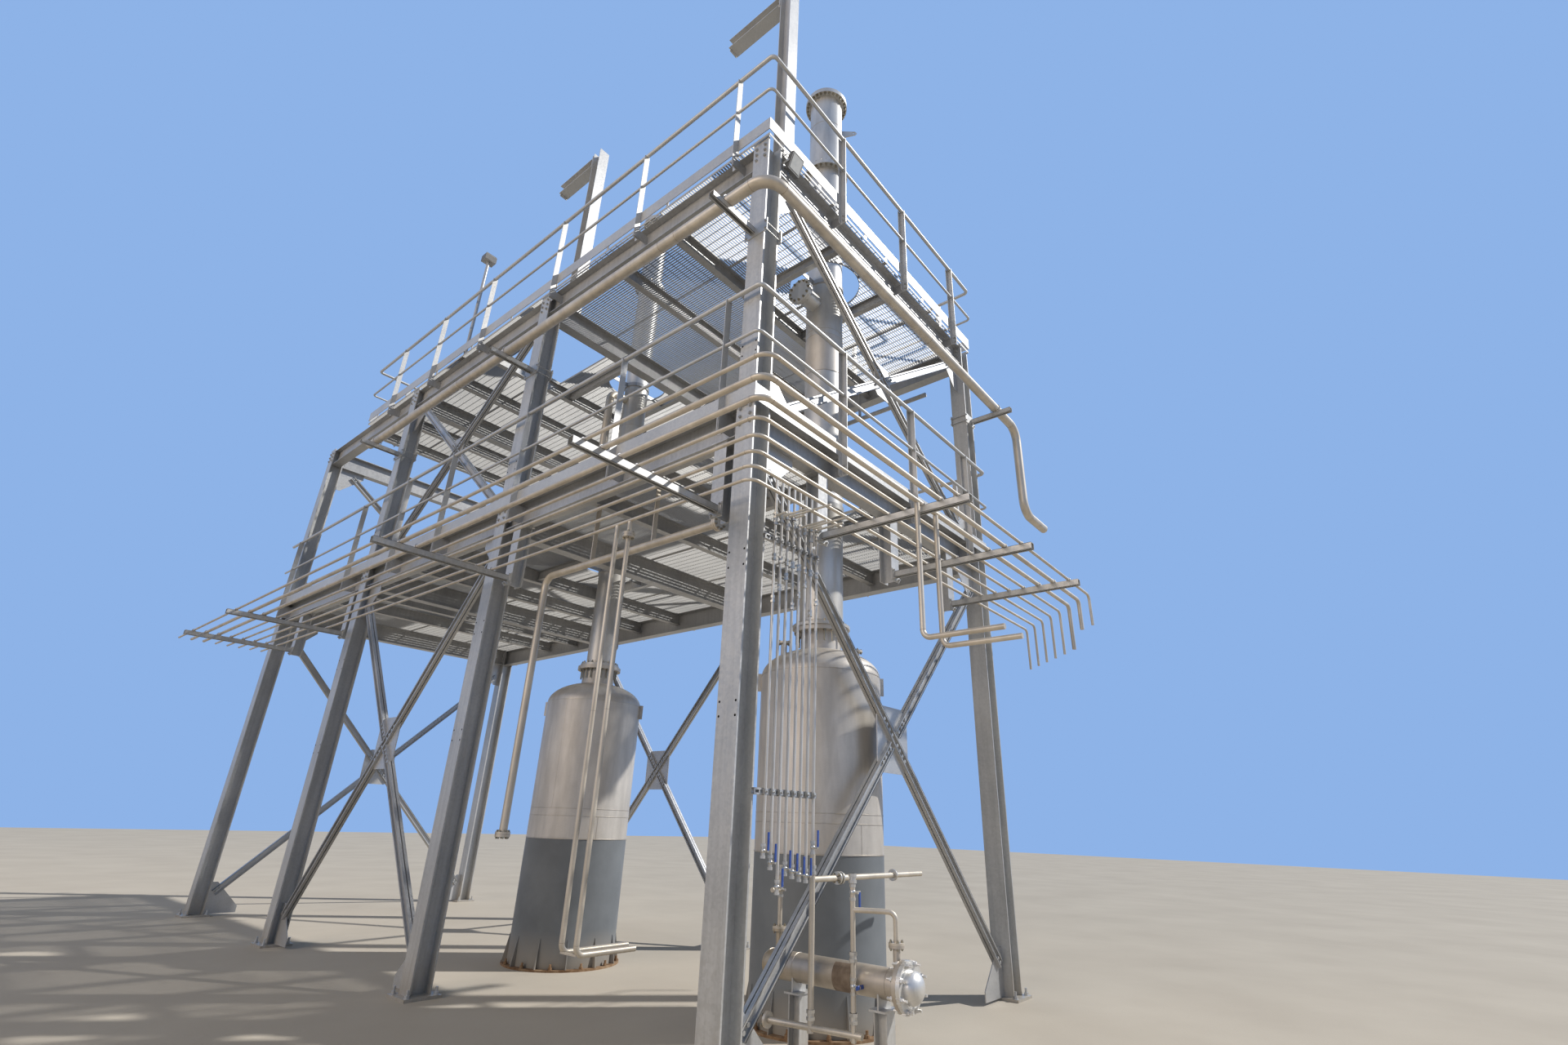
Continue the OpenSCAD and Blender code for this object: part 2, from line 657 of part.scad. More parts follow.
// Pot: base ring, skirt, shell, floor and domed head
module on_still(y) { translate([still_x, y, 0]) children(); }
module tube(h, r, t) {
    difference() {
        cylinder(h = h, r = r);
        translate([0, 0, -1]) cylinder(h = h + 2, r = r - t);
    }
}
module base_ring() {
    difference() {
        cylinder(h = 20, r = pot_r + 62);
        translate([0, 0, -1]) cylinder(h = 22, r = pot_r - 60);
        for (i = [0:11]) rotate(i * 30 + 15) translate([pot_r + 34, 0, -1]) cylinder(h = 22, r = 13);
    }
}
module pot_skirt() { translate([0, 0, 20 + fit_gap]) tube(skirt_top - 20 - 2 * fit_gap, pot_r, pot_wall); }
module pot_shell() {
    translate([0, 0, skirt_top]) {
        tube(pot_top - skirt_top - fit_gap, pot_r, pot_wall);
        cylinder(h = 12, r = pot_r - pot_wall / 2);
    }
}
// Domed head as a turned shell of even thickness, with the neck on top
function dome_pt(r, h, a) = [r * cos(a), h * sin(a)];
module pot_head() {
    a1 = acos(neck_r / pot_r);
    a2 = acos((neck_r - pot_wall) / (pot_r - pot_wall));
    n = 12;
    translate([0, 0, pot_top]) rotate_extrude($fn = 96) polygon(concat(
        [for (i = [0:n]) dome_pt(pot_r, dome_h, a1 * i / n)],
        [[neck_r, neck_z - pot_top - 45], [neck_r + flange_out, neck_z - pot_top - 45],
         [neck_r + flange_out, neck_z - pot_top - fit_gap], [neck_r - pot_wall, neck_z - pot_top - fit_gap]],
        [for (i = [n:-1:0]) dome_pt(pot_r - pot_wall, dome_h - pot_wall, a2 * i / n)]));
}

// One length of still column with a flange at each end
module shaft(r, z0, z1) {
    translate([0, 0, z0]) {
        tube(z1 - z0, r, shaft_wall);
        tube(flange_t, r + flange_out, flange_out + shaft_wall);
        translate([0, 0, z1 - z0 - flange_t]) tube(flange_t, r + flange_out, flange_out + shaft_wall);
    }
}
module cover(r) { translate([0, 0, shaft_top + fit_gap]) cylinder(h = 38, r = r + flange_out); }
// Side branch with a flange and blind cover, pointing to -X
module branch(z, rb, reach) {
    translate([0, 0, z]) rotate([0, -90, 0]) {
        cylinder(h = reach, r = rb);
        translate([0, 0, reach - 25]) cylinder(h = 55, r = rb + 55);
    }
}

module pot_rings() {
    color("#8a5a3c") {
        on_still(still_1_y) base_ring();
        on_still(still_2_y) base_ring();
    }
}
module pot_1_skirt() { color("#6f7880") on_still(still_1_y) pot_skirt(); }
module pot_1_shell() { color("#a39a8c") on_still(still_1_y) pot_shell(); }
// Small flanged nozzle standing on a head
module head_nozzle(a, r) {
    z = pot_top + dome_h * sqrt(1 - pow(r / pot_r, 2)) - 30;
    rotate(a) translate([r, 0, z]) {
        cylinder(h = 150, r = 30);
        translate([0, 0, 130]) cylinder(h = 20, r = 62);
    }
}
module pot_1_head() {
    color("#a39a8c") on_still(still_1_y) {
        pot_head();
        head_nozzle(-30, 400);
        head_nozzle(150, 400);
    }
}
module shaft_1_low() {
    color("#aaa59c") on_still(still_1_y) difference() {
        union() {
            shaft(shaft_1_r, neck_z, joint_z);
            branch(7420, 105, 480);
        }
        translate([0, 0, neck_z + 1]) cylinder(h = joint_z - neck_z, r = shaft_1_r - shaft_wall);
    }
}
module lug(r, z) {
    translate([0, 8, z]) rotate([90, 0, 0]) linear_extrude(16) difference() {
        polygon([[r - shaft_wall / 2, 0], [r + 190, 70], [r + 215, 100], [r + 190, 130],
                 [r - shaft_wall / 2, 130]]);
        translate([r + 170, 100]) circle(r = 16);
    }
}
module shaft_1_top() {
    color("#aaa59c") on_still(still_1_y) {
        shaft(shaft_1_r, joint_z + fit_gap, shaft_top);
        rotate(-50) lug(shaft_1_r, shaft_top - 600);
    }
}
module shaft_covers() {
    color("#aaa59c") {
        on_still(still_1_y) cover(shaft_1_r);
        on_still(still_2_y) cover(shaft_2_r);
    }
}
module pot_2_skirt() { color("#6f7880") on_still(still_2_y) pot_skirt(); }
module pot_2_shell() { color("#a39a8c") on_still(still_2_y) pot_shell(); }
module pot_2_head() { color("#a39a8c") on_still(still_2_y) pot_head(); }
module shaft_2_low() { color("#aaa59c") on_still(still_2_y) shaft(shaft_2_r, neck_z, joint_z); }
module shaft_2_top() { color("#aaa59c") on_still(still_2_y) shaft(shaft_2_r, joint_z + fit_gap, shaft_top); }

// Utility tubes beside the corner column, with their clamp strips and ball valves
tube_x = [for (i = [0:7]) 175 + i * 78];
tube_foot = [1400, 1330, 1180, 1290, 1270, 1250, 1240, 1420];
tube_top = 4130;
tube_r = 11;
strip_t = 30;
tube_y = -half - fit_gap - strip_t - fit_gap - tube_r;
module tube_strips() {
    color("#b9bab5") for (z = [1700, 3560])
        translate([-half, -half - fit_gap - strip_t, z]) cube([tube_x[7] + 40 + half, strip_t, 45]);
}
module utility_tubes() {
    color("#b5aa98") for (i = [0:7])
        translate([tube_x[i], tube_y, tube_foot[i]]) cylinder(h = tube_top - tube_foot[i], r = tube_r);
}
// Ball valve under a tube: body, hexagon ends and a flat lever that stands up beside it
valve_h = 90;
module tube_valve() {
    translate([0, 0, -valve_h]) {
        cylinder(h = valve_h, r = 14);
        for (z = [0, valve_h - 18]) translate([0, 0, z]) cylinder(h = 18, r = 18, $fn = 6);
        translate([0, 0, valve_h / 2]) sphere(r = 23);
        translate([0, 0, valve_h / 2]) rotate([90, 0, 0]) cylinder(h = 46, r = 8);
        translate([-9, -48, valve_h / 2 - 14]) cube([18, 5, 130]);
    }
}
module tube_valves() {
    color("#2f55a5") for (i = [0:7]) translate([tube_x[i], tube_y, tube_foot[i] - fit_gap]) tube_valve();
}

// Heat exchanger on two legs: shell with a domed far end, front flange and a nozzle at each end
module along_y(y) { translate([hx_x, y, hx_z]) rotate([-90, 0, 0]) children(); }
hx_flange_r = hx_r + 58;
hx_nozzle_y = [hx_front + 70, hx_front + hx_len - 60];
module exchanger_shell() {
    color("#b0a898") {
        along_y(hx_front) rotate_extrude() polygon(concat(
            [[0, 0], [hx_flange_r, 0], [hx_flange_r, 28], [hx_r, 28]],
            [for (a = [0:15:90]) [hx_r * cos(a), hx_len + 60 * sin(a)]]));
        for (y = hx_nozzle_y) translate([hx_x, y, hx_z]) {
            cylinder(h = hx_nozzle_z - hx_z, r = 24);
            translate([0, 0, hx_nozzle_z - hx_z - 16]) cylinder(h = 16, r = 52);
        }
    }
}
module exchanger_head() {
    color("#8c8a86") along_y(hx_front - fit_gap) rotate([180, 0, 0]) rotate_extrude() polygon(concat(
        [[0, 12], [hx_r - 12, 12], [hx_r - 12, 0], [hx_flange_r, 0], [hx_flange_r, 28], [hx_r + 6, 28]],
        [for (a = [0:15:90]) [(hx_r + 6) * cos(a), 42 + 70 * sin(a)]]));
}
module exchanger_legs() {
    seat = hx_z - hx_r;
    color("#9fa19d") for (y = [hx_front + 175, hx_front + 875]) translate([hx_x, y, 0]) {
        translate([-110, -70, 0]) cube([220, 140, 12]);
        translate([0, 0, 12]) linear_extrude(seat - 72) i_profile(100, 100, 10, 7);
        translate([-90, -60, seat - 60]) cube([180, 120, 12]);
        translate([0, 6, 0]) rotate([90, 0, 0]) linear_extrude(12) difference() {
            translate([-75, seat - 48]) square([150, hx_r + 40]);
            translate([0, hx_z]) circle(r = hx_r + fit_gap);
        }
    }
}

// Pipes of the exchanger: two standing pipes between a low and a high cross pipe, a bend to the
// front nozzle, and a short pipe with a valve on the rear nozzle
pipe_r = 20;
thin_r = 17;
pipe_low_z = 300;
pipe_high_z = 1170;
function at_height(p, z) = [p[0], p[1], z];
module nozzle_end(y, h) {
    translate([hx_x, y, hx_nozzle_z + fit_gap]) {
        cylinder(h = h, r = thin_r);
        cylinder(h = 16, r = 52);
    }
}
module exchanger_pipes() {
    a = [tube_x[7], tube_y];
    c = [hx_x - hx_r - 38, -450];
    dir = (c - a) / norm(c - a);
    bend_z = hx_nozzle_z + 215;
    color("#a89a86") {
        translate(at_height(a, pipe_low_z - pipe_r - 4))
            cylinder(h = tube_foot[7] - valve_h - 2 * fit_gap - pipe_low_z + pipe_r + 4, r = pipe_r + 1);
        translate(at_height(c, pipe_low_z - 40)) cylinder(h = pipe_high_z - pipe_low_z + 70, r = thin_r);
        rod(at_height(a - 330 * dir, pipe_low_z), at_height(c + 60 * dir, pipe_low_z), 2 * pipe_r);
        rod(at_height(a - 350 * dir, pipe_low_z), at_height(a - 320 * dir, pipe_low_z), 110);
        rod(at_height(a, pipe_high_z), at_height(c + 520 * dir, pipe_high_z), 2 * pipe_r);
        for (z = [pipe_low_z + 230, pipe_high_z - 90]) translate(at_height(c, z)) {
            cylinder(h = 54, r = 26);
            translate([-9, -45, 15]) cube([18, 45, 18]);
        }
        rod(at_height(c, bend_z - 25), [hx_x, hx_nozzle_y[0] - 10, bend_z - 25], 30);
        nozzle_end(hx_nozzle_y[0], bend_z - hx_nozzle_z);
        nozzle_end(hx_nozzle_y[1], 420);
        translate([hx_x, hx_nozzle_y[1], hx_nozzle_z + 230]) {
            cylinder(h = 60, r = 28);
            translate([0, 0, 30]) rotate([0, -90, 0]) cylinder(h = 90, r = 12);
        }
    }
}

base_plates();
columns_near();
columns_far();
mid_beams();
mid_joists();
mid_grating();
mid_toe();
mid_rails_across();
mid_rails_along();
top_beams();
top_joists();
top_grating();
top_toe();
top_rails_across();
top_rails_along();
shaft_guides();
braces_short();
braces_near();
braces_far();
braces_end();
bank_hangers();
bank_arms();
bank_long();
bank_short();
risers();
drop_pipes();
low_pipe();
main_arms();
main_pipe_long();
main_pipe_short();
lifting_posts();
lamp_post();
hoist_rail();
pot_rings();
pot_1_skirt();
pot_1_shell();
pot_1_head();
shaft_1_low();
shaft_1_top();
pot_2_skirt();
pot_2_shell();
pot_2_head();
shaft_2_low();
shaft_2_top();
shaft_covers();
still_riser();
tube_strips();
utility_tubes();
tube_valves();
exchanger_shell();
exchanger_head();
exchanger_legs();
exchanger_pipes();
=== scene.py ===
from math import cos, pi, radians, sin, sqrt

import bmesh
import bpy
from mathutils import Matrix, Vector


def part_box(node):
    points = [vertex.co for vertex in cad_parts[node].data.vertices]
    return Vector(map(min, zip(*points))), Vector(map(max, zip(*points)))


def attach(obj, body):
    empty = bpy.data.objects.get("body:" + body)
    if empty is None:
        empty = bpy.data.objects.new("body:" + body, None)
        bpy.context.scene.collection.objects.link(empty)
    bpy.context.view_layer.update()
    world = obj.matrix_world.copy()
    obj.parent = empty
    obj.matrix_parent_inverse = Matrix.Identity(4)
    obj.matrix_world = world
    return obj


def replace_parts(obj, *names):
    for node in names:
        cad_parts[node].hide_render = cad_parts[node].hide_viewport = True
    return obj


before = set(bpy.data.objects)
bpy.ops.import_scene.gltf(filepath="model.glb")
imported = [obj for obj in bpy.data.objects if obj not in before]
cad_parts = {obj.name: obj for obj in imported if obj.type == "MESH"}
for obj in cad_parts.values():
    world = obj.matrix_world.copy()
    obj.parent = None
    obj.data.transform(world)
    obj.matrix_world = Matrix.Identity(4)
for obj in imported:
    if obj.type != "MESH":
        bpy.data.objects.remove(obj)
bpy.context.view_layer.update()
scene = bpy.context.scene

# The camera stands low, outside the near corner, and looks up along the diagonal of the frame.
# Its place and angles are those solved from the frame's straight edges in the photograph.
eye = Vector((-3.7231, -3.4932, 1.5158))
heading, tilt_up, roll = radians(50.061), radians(23.220), radians(-1.913)
focal_pixels = 863.5
picture_width = 1920
ahead = Vector((cos(tilt_up) * sin(heading), cos(tilt_up) * cos(heading), sin(tilt_up)))
level_right = Vector((cos(heading), -sin(heading), 0.0))
level_down = ahead.cross(level_right)
right = level_right * cos(roll) + level_down * sin(roll)
down = level_down * cos(roll) - level_right * sin(roll)
camera = bpy.data.objects.new("camera", bpy.data.cameras.new("camera"))
camera.data.sensor_fit = "HORIZONTAL"
camera.data.sensor_width = 36.0
camera.data.lens = camera.data.sensor_width * focal_pixels / picture_width
camera.data.clip_end = 300.0
camera.matrix_world = Matrix((right, -down, -ahead)).transposed().to_4x4()
camera.location = eye
scene.collection.objects.link(camera)
scene.camera = camera

# The ground and the light. A plain pale slab reaches past the view, with a pale sky behind it.
# The sun stands high on the right of the short face, a broad warm lamp stands for light thrown
# back from the left, and the sky fills the other shaded sides.


def add_node(tree, kind, inputs=None, **settings):
    made = tree.nodes.new(kind)
    for key, value in settings.items():
        setattr(made, key, value)
    for key, value in (inputs or {}).items():
        if isinstance(value, bpy.types.NodeSocket):
            tree.links.new(value, made.inputs[key])
        else:
            made.inputs[key].default_value = value
    return made


def step(tree, kind, inputs=None, **settings):
    return add_node(tree, kind, inputs, **settings).outputs[0]


def calc(tree, first, sign, second):
    operation = {"+": "ADD", "-": "SUBTRACT", "*": "MULTIPLY", "max": "MAXIMUM"}[sign]
    return step(tree, "ShaderNodeMath", {0: first, 1: second}, operation=operation)


def new_finish(name, metallic, specular=0.5):
    finish = bpy.data.materials.new(name)
    finish.use_nodes = True
    shader = finish.node_tree.nodes["Principled BSDF"]
    shader.inputs["Metallic"].default_value = metallic
    shader.inputs["Specular IOR Level"].default_value = specular
    place = add_node(finish.node_tree, "ShaderNodeTexCoord").outputs["Object"]
    return finish, finish.node_tree, shader, place


def noise(tree, place, scale, detail=4.0, stretch=(1.0, 1.0, 1.0)):
    mapped = step(tree, "ShaderNodeMapping", {"Vector": place, "Scale": stretch})
    return step(tree, "ShaderNodeTexNoise", {"Vector": mapped, "Scale": scale, "Detail": detail,
                                             "Roughness": 0.55})


def ramp(tree, value, stops):
    made = add_node(tree, "ShaderNodeValToRGB", {"Fac": value})
    elements = made.color_ramp.elements
    while len(elements) < len(stops):
        elements.new(0.5)
    for element, (position, colour) in zip(elements, stops):
        element.position = position
        element.color = (*(colour if isinstance(colour, tuple) else (colour,) * 3), 1.0)
    return made.outputs["Color"]


def shade(tree, shader, colour, gloss_from, rough, bump_from, depth):
    tree.links.new(colour, shader.inputs["Base Color"])
    gloss = step(tree, "ShaderNodeMapRange", {"Value": gloss_from, "To Min": rough[0], "To Max": rough[1]})
    tree.links.new(gloss, shader.inputs["Roughness"])
    relief = step(tree, "ShaderNodeBump", {"Height": bump_from, "Distance": depth, "Strength": 0.6})
    tree.links.new(relief, shader.inputs["Normal"])


def mottled(name, patches, stops, grains, rough, depth, metallic=0.0, specular=0.5, dust=None):
    finish, tree, shader, place = new_finish(name, metallic, specular)
    clouds, fine = noise(tree, place, *patches), noise(tree, place, *grains)
    tone = ramp(tree, clouds, stops)
    if dust:
        tone = dusted(tree, place, tone, clouds, *dust)
    shade(tree, shader, tone, fine, rough, fine, depth)
    return finish


slab_half = 60.0
slab_mesh = bpy.data.meshes.new("slab")
slab_mesh.from_pydata([(x * slab_half, y * slab_half, 0) for x, y in ((-1, -1), (1, -1), (1, 1), (-1, 1))],
                      [], [(0, 1, 2, 3)])
slab_mesh.materials.append(mottled(
    "pale_concrete", (0.6, 6.0), ((0.3, (0.44, 0.40, 0.345)), (0.7, (0.50, 0.46, 0.40))), (40.0, 3.0),
    (0.7, 0.9), 0.002, specular=0.3))
slab = bpy.data.objects.new("slab", slab_mesh)
scene.collection.objects.link(slab)

sky = bpy.data.worlds.new("pale_sky")
scene.world = sky
sky.use_nodes = True
sky_tree = sky.node_tree
fill = sky_tree.nodes["Background"]
fill.inputs["Color"].default_value = (0.70, 0.83, 1.0, 1.0)
fill.inputs["Strength"].default_value = 0.26
seen = step(sky_tree, "ShaderNodeBackground", {"Color": (0.27, 0.45, 0.80, 1.0), "Strength": 1.0})
rays = add_node(sky_tree, "ShaderNodeLightPath").outputs
shown = calc(sky_tree, rays["Is Camera Ray"], "max",
             calc(sky_tree, rays["Is Glossy Ray"], "max", rays["Is Transmission Ray"]))
sky_mix = step(sky_tree, "ShaderNodeMixShader", {0: shown, 1: fill.outputs[0], 2: seen})
sky_tree.links.new(sky_mix, sky_tree.nodes["World Output"].inputs["Surface"])


def add_lamp(name, kind, energy, colour, towards):
    lamp = bpy.data.objects.new(name, bpy.data.lights.new(name, kind))
    lamp.data.energy = energy
    lamp.data.color = colour
    lamp.rotation_euler = towards.to_track_quat("Z", "Y").to_euler()
    scene.collection.objects.link(lamp)
    return lamp


sun = add_lamp("sun", "SUN", 3.9, (1.0, 0.96, 0.89), Vector((0.57, -0.50, 0.65)))
sun.data.angle = radians(1.2)
bounce_place, lit_middle = Vector((-30.0, 4.0, 15.0)), Vector((2.0, 5.0, 5.0))
bounce = add_lamp("bounce", "AREA", 4600.0, (1.0, 0.82, 0.62), bounce_place - lit_middle)
bounce.location = bounce_place
bounce.data.shape = "RECTANGLE"
bounce.data.size, bounce.data.size_y = 26.0, 10.0
scene.view_settings.view_transform = "Standard"

# Eight columns on square base plates. They are rolled sections of hot-dip galvanised steel, cut,
# drilled and dipped, so the zinc shows a fine spangle, duller areas and faint upright runs, and
# dust clings to the feet. Each plate is held by four anchor bolts with nuts and thick washers.


def split(tree, vector):
    return add_node(tree, "ShaderNodeSeparateXYZ", {"Vector": vector}).outputs


def marked(sockets, identifier):
    return next(s for s in sockets if s.identifier == identifier)


def blend(tree, kind, factor, first, second):
    made = add_node(tree, "ShaderNodeMix", data_type="RGBA", blend_type=kind)
    for socket, value in (("Factor_Float", factor), ("A_Color", first), ("B_Color", second)):
        target = marked(made.inputs, socket)
        if isinstance(value, bpy.types.NodeSocket):
            tree.links.new(value, target)
        else:
            target.default_value = value if socket == "Factor_Float" else (*value, 1.0)
    return marked(made.outputs, "Result_Color")


def dusted(tree, place, tone, clouds, sway, thick_stop, clear_height, dust):
    reached = calc(tree, split(tree, place)["Z"], "+", calc(tree, clouds, "*", sway))
    return blend(tree, "MIX", ramp(tree, reached, (thick_stop, (clear_height, 0.0))), tone, dust)


def zinc(name, dark=(0.42, 0.425, 0.43), light=(0.57, 0.57, 0.565), crystals=50.0, gloss=0.34,
         metallic=0.35, streak=0.4, dusty=False):
    finish, tree, shader, place = new_finish(name, metallic)
    cells = add_node(tree, "ShaderNodeTexVoronoi", {"Vector": place, "Scale": crystals}).outputs["Color"]
    facets = step(tree, "ShaderNodeRGBToBW", {"Color": cells})
    runs = noise(tree, place, 3.0, 3.0, (9.0, 9.0, 0.5))
    tone = ramp(tree, noise(tree, place, 1.3, 5.0), ((0.25, dark), (0.75, light)))
    tone = blend(tree, "OVERLAY", 0.12, tone, ramp(tree, facets, ((0.2, 0.3), (0.8, 0.7))))
    tone = blend(tree, "MULTIPLY", streak, tone, ramp(tree, runs, ((0.35, 0.74), (0.6, 1.0))))
    if dusty:
        tone = dusted(tree, place, tone, runs, 0.4, (0.12, 0.75), 0.55, (0.40, 0.35, 0.28))
    shade(tree, shader, tone, facets, (gloss, gloss + 0.16), noise(tree, place, 180.0, 2.0), 0.0002)
    return finish


def coat(nodes, finish):
    for name in nodes:
        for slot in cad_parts[name].material_slots:
            slot.material = finish


def node_tree(name, sizes):
    tree = bpy.data.node_groups.new(name, "GeometryNodeTree")
    sockets = [("Geometry", "Geometry"), *((key, "Float") for key in sizes), ("Material", "Material")]
    for key, kind in sockets:
        tree.interface.new_socket(key, in_out="INPUT", socket_type="NodeSocket" + kind)
    tree.interface.new_socket("Geometry", in_out="OUTPUT", socket_type="NodeSocketGeometry")
    return tree, tree.nodes.new("NodeGroupInput").outputs


def join(tree, forms):
    made = tree.nodes.new("GeometryNodeJoinGeometry")
    for form in forms:
        tree.links.new(form, made.inputs[0])
    return made.outputs[0]


def asked(tree, name):
    return add_node(tree, "GeometryNodeInputNamedAttribute", {"Name": name},
                    data_type="FLOAT_VECTOR").outputs["Attribute"]


def close_tree(tree, given, form):
    real = step(tree, "GeometryNodeRealizeInstances", {"Geometry": form})
    finished = step(tree, "GeometryNodeSetMaterial", {"Geometry": real, "Material": given["Material"]})
    add_node(tree, "NodeGroupOutput", {"Geometry": finished})
    return tree


def set_out(tree, given, form, scale=(1.0, 1.0, 1.0), twist=False):
    turned_by = step(tree, "FunctionNodeEulerToRotation", {"Euler": asked(tree, "turn")})
    if twist:
        chance = add_node(tree, "FunctionNodeRandomValue", {"Seed": 7}, data_type="FLOAT")
        for socket, value in (("Min_001", 0.0), ("Max_001", 1.05)):
            marked(chance.inputs, socket).default_value = value
        spin = step(tree, "FunctionNodeAxisAngleToRotation",
                    {"Axis": (0.0, 0.0, 1.0), "Angle": marked(chance.outputs, "Value_001")})
        turned_by = step(tree, "FunctionNodeRotateRotation", {"Rotation": turned_by, "Rotate By": spin},
                         rotation_space="LOCAL")
    return close_tree(tree, given, step(tree, "GeometryNodeInstanceOnPoints", {
        "Points": given["Geometry"], "Instance": form, "Rotation": turned_by, "Scale": scale}))


def moved(tree, form, x=0.0, z=0.0, turn=(0.0, 0.0, 0.0), scale=(1.0, 1.0, 1.0)):
    place = step(tree, "ShaderNodeCombineXYZ", {"X": x, "Z": z})
    return step(tree, "GeometryNodeTransform", {"Geometry": form, "Translation": place, "Rotation": turn,
                                                "Scale": scale})


def prism(tree, sides, width, bottom, height, **place):
    drum = step(tree, "GeometryNodeMeshCylinder", {
        "Vertices": sides, "Radius": calc(tree, width, "*", 0.5), "Depth": height}, fill_type="NGON")
    return moved(tree, drum, z=calc(tree, calc(tree, height, "*", 0.5), "+", bottom), **place)


def grow(name, tree, places, sizes, finish, slot, edges=(), smooth=None, **vectors):
    seeds = bpy.data.meshes.new(name)
    seeds.from_pydata([tuple(p) for p in places], list(edges), [])
    for key, rows in vectors.items():
        held = seeds.attributes.new(key, "FLOAT_VECTOR", "POINT")
        held.data.foreach_set("vector", [value for row in rows for value in row])
    piece = bpy.data.objects.new(name, seeds)
    modifier = piece.modifiers.new(name, "NODES")
    modifier.node_group = tree
    sockets = {s.name: s.identifier for s in tree.interface.items_tree if s.in_out == "INPUT"}
    for key, value in {**sizes, "Material": finish}.items():
        modifier[sockets[key]] = value
    scene.collection.objects.link(piece)
    graph = bpy.context.evaluated_depsgraph_get()
    made = bpy.data.meshes.new_from_object(piece.evaluated_get(graph), depsgraph=graph)
    piece.modifiers.clear()
    piece.data = made
    if smooth:
        form = bmesh.new()
        form.from_mesh(made)
        bmesh.ops.recalc_face_normals(form, faces=form.faces)
        form.to_mesh(made)
        form.free()
        made.shade_smooth()
        made.set_sharp_from_angle(angle=radians(smooth))
    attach(piece, "root")
    return piece


def stand(name, tree, spots, sizes, finish, slot, **more):
    turns = [tuple(Vector(way).to_track_quat("Z", "Y").to_euler()) for _, way in spots]
    return grow(name, tree, [place for place, _ in spots], sizes, finish, slot, turn=turns, **more)


tree, given = node_tree("hexagon_bolt", ("Head width", "Head height", "Washer width", "Washer height",
                                         "Stud width", "Stud height"))
bolt_tree = set_out(tree, given, join(tree, (
    prism(tree, 12, given["Washer width"], 0.0, given["Washer height"]),
    prism(tree, 6, given["Head width"], given["Washer height"], given["Head height"]),
    prism(tree, 8, given["Stud width"], 0.0, given["Stud height"]))), twist=True)


def bolts(name, spots, size, finish, stud=1.9, slot="galvanised"):
    sizes = {"Head width": size * 1.75, "Head height": size * 0.8, "Washer width": size * 2.1,
             "Washer height": size * 0.17, "Stud width": size, "Stud height": size * stud}
    return stand(name, bolt_tree, spots, sizes, finish, slot)


# a thin disc that paints the shade inside a drilled hole
tree, given = node_tree("drilled_hole", ("Width", "Rim"))
hole_tree = set_out(tree, given, prism(tree, 12, given["Width"], 0.0, given["Rim"]))

span = 4.19
column_x = (0.0, span)
column_y = (0.0, 3.75, 7.43, 10.83)
column_zinc = zinc("galvanised_columns", dusty=True)
bolt_zinc = zinc("galvanised_bolts", (0.40, 0.40, 0.40), (0.58, 0.58, 0.57), 160.0, 0.3, 0.5)
# near-black finish of painted shade, for the insides of holes and the gaps between flanges
hole_shadow = mottled("drilled_hole_shadow", (60.0, 3.0), ((0.3, 0.012), (0.7, 0.03)), (60.0, 3.0),
                      (0.85, 1.0), 0.0002, specular=0.1)
coat(("columns_near", "columns_far", "base_plates"), column_zinc)
plate_top, anchor_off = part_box("base_plates")[1].z, (-0.13, 0.13)
bolts("anchor_bolts", [((x + i, y + j, plate_top), (0, 0, 1)) for x in column_x for y in column_y
                       for i in anchor_off for j in anchor_off], 0.024, bolt_zinc, 2.6)
# spare holes, drilled in rows of two through the outer flanges of the near row, drawn as thin near-black
# discs of painted shade
spare_holes = [((-0.1, y + side * 0.078, z), (-1, 0, 0)) for y in column_y[:3] for side in (-1, 1)
               for z in (2.2, 2.3, 3.3, 3.425, 5.25, 5.35)]
stand("spare_holes", hole_tree, spare_holes, {"Width": 0.018, "Rim": 0.0006}, hole_shadow, "galvanised")

# Main beams and joists of both decks, and the guides round the stills' columns: the same
# galvanised sections. Beam ends are bolted to the columns in upright rows through end plates,
# and each joist is bolted through an angle cleat that is welded to the beam's web.
tree, given = node_tree("flat_bar", ("Thickness", "Depth"))
least = step(tree, "ShaderNodeCombineXYZ", {"X": given["Thickness"], "Y": given["Thickness"],
                                            "Z": given["Depth"]})
bar_size = step(tree, "ShaderNodeVectorMath", {0: asked(tree, "reach"), 1: least}, operation="MAXIMUM")
bar_tree = set_out(tree, given, step(tree, "GeometryNodeMeshCube"), bar_size)


def flat_bars(name, bars, finish, slot="galvanised", thickness=0.001, depth=0.001):
    return grow(name, bar_tree, [b[0] for b in bars], {"Thickness": thickness, "Depth": depth}, finish, slot,
                reach=[b[1] for b in bars], turn=[b[2] if len(b) > 2 else (0.0, 0.0, 0.0) for b in bars])


def between(low, high):
    return tuple((a + b) / 2 for a, b in zip(low, high)), tuple(abs(b - a) for a, b in zip(low, high))


beam_zinc = zinc("galvanised_beams", (0.33, 0.335, 0.345), (0.50, 0.50, 0.50))
coat(("mid_beams", "top_beams", "mid_joists", "top_joists", "shaft_guides"), beam_zinc)
beam_tops = (4.78, 7.83)
end_spots, end_plates = [], []
for top in beam_tops:
    for y in column_y:
        end_plates += [between((x, y - 0.08, top - 0.29), (x + 0.012, y + 0.08, top - 0.005))
                       for x in (0.1025, span - 0.1145)]
        for z in (top - 0.075, top - 0.15, top - 0.225):
            for x, way, off in ((0.115, 1, 0.045), (span - 0.115, -1, 0.045),
                                (-0.1, -1, 0.055), (span + 0.1, 1, 0.055)):
                end_spots += [((x, y + side * off, z), (way, 0, 0)) for side in (-1, 1)]
flat_bars("beam_end_plates", end_plates, beam_zinc)
bolts("beam_end_bolts", end_spots, 0.018, bolt_zinc, 1.3)

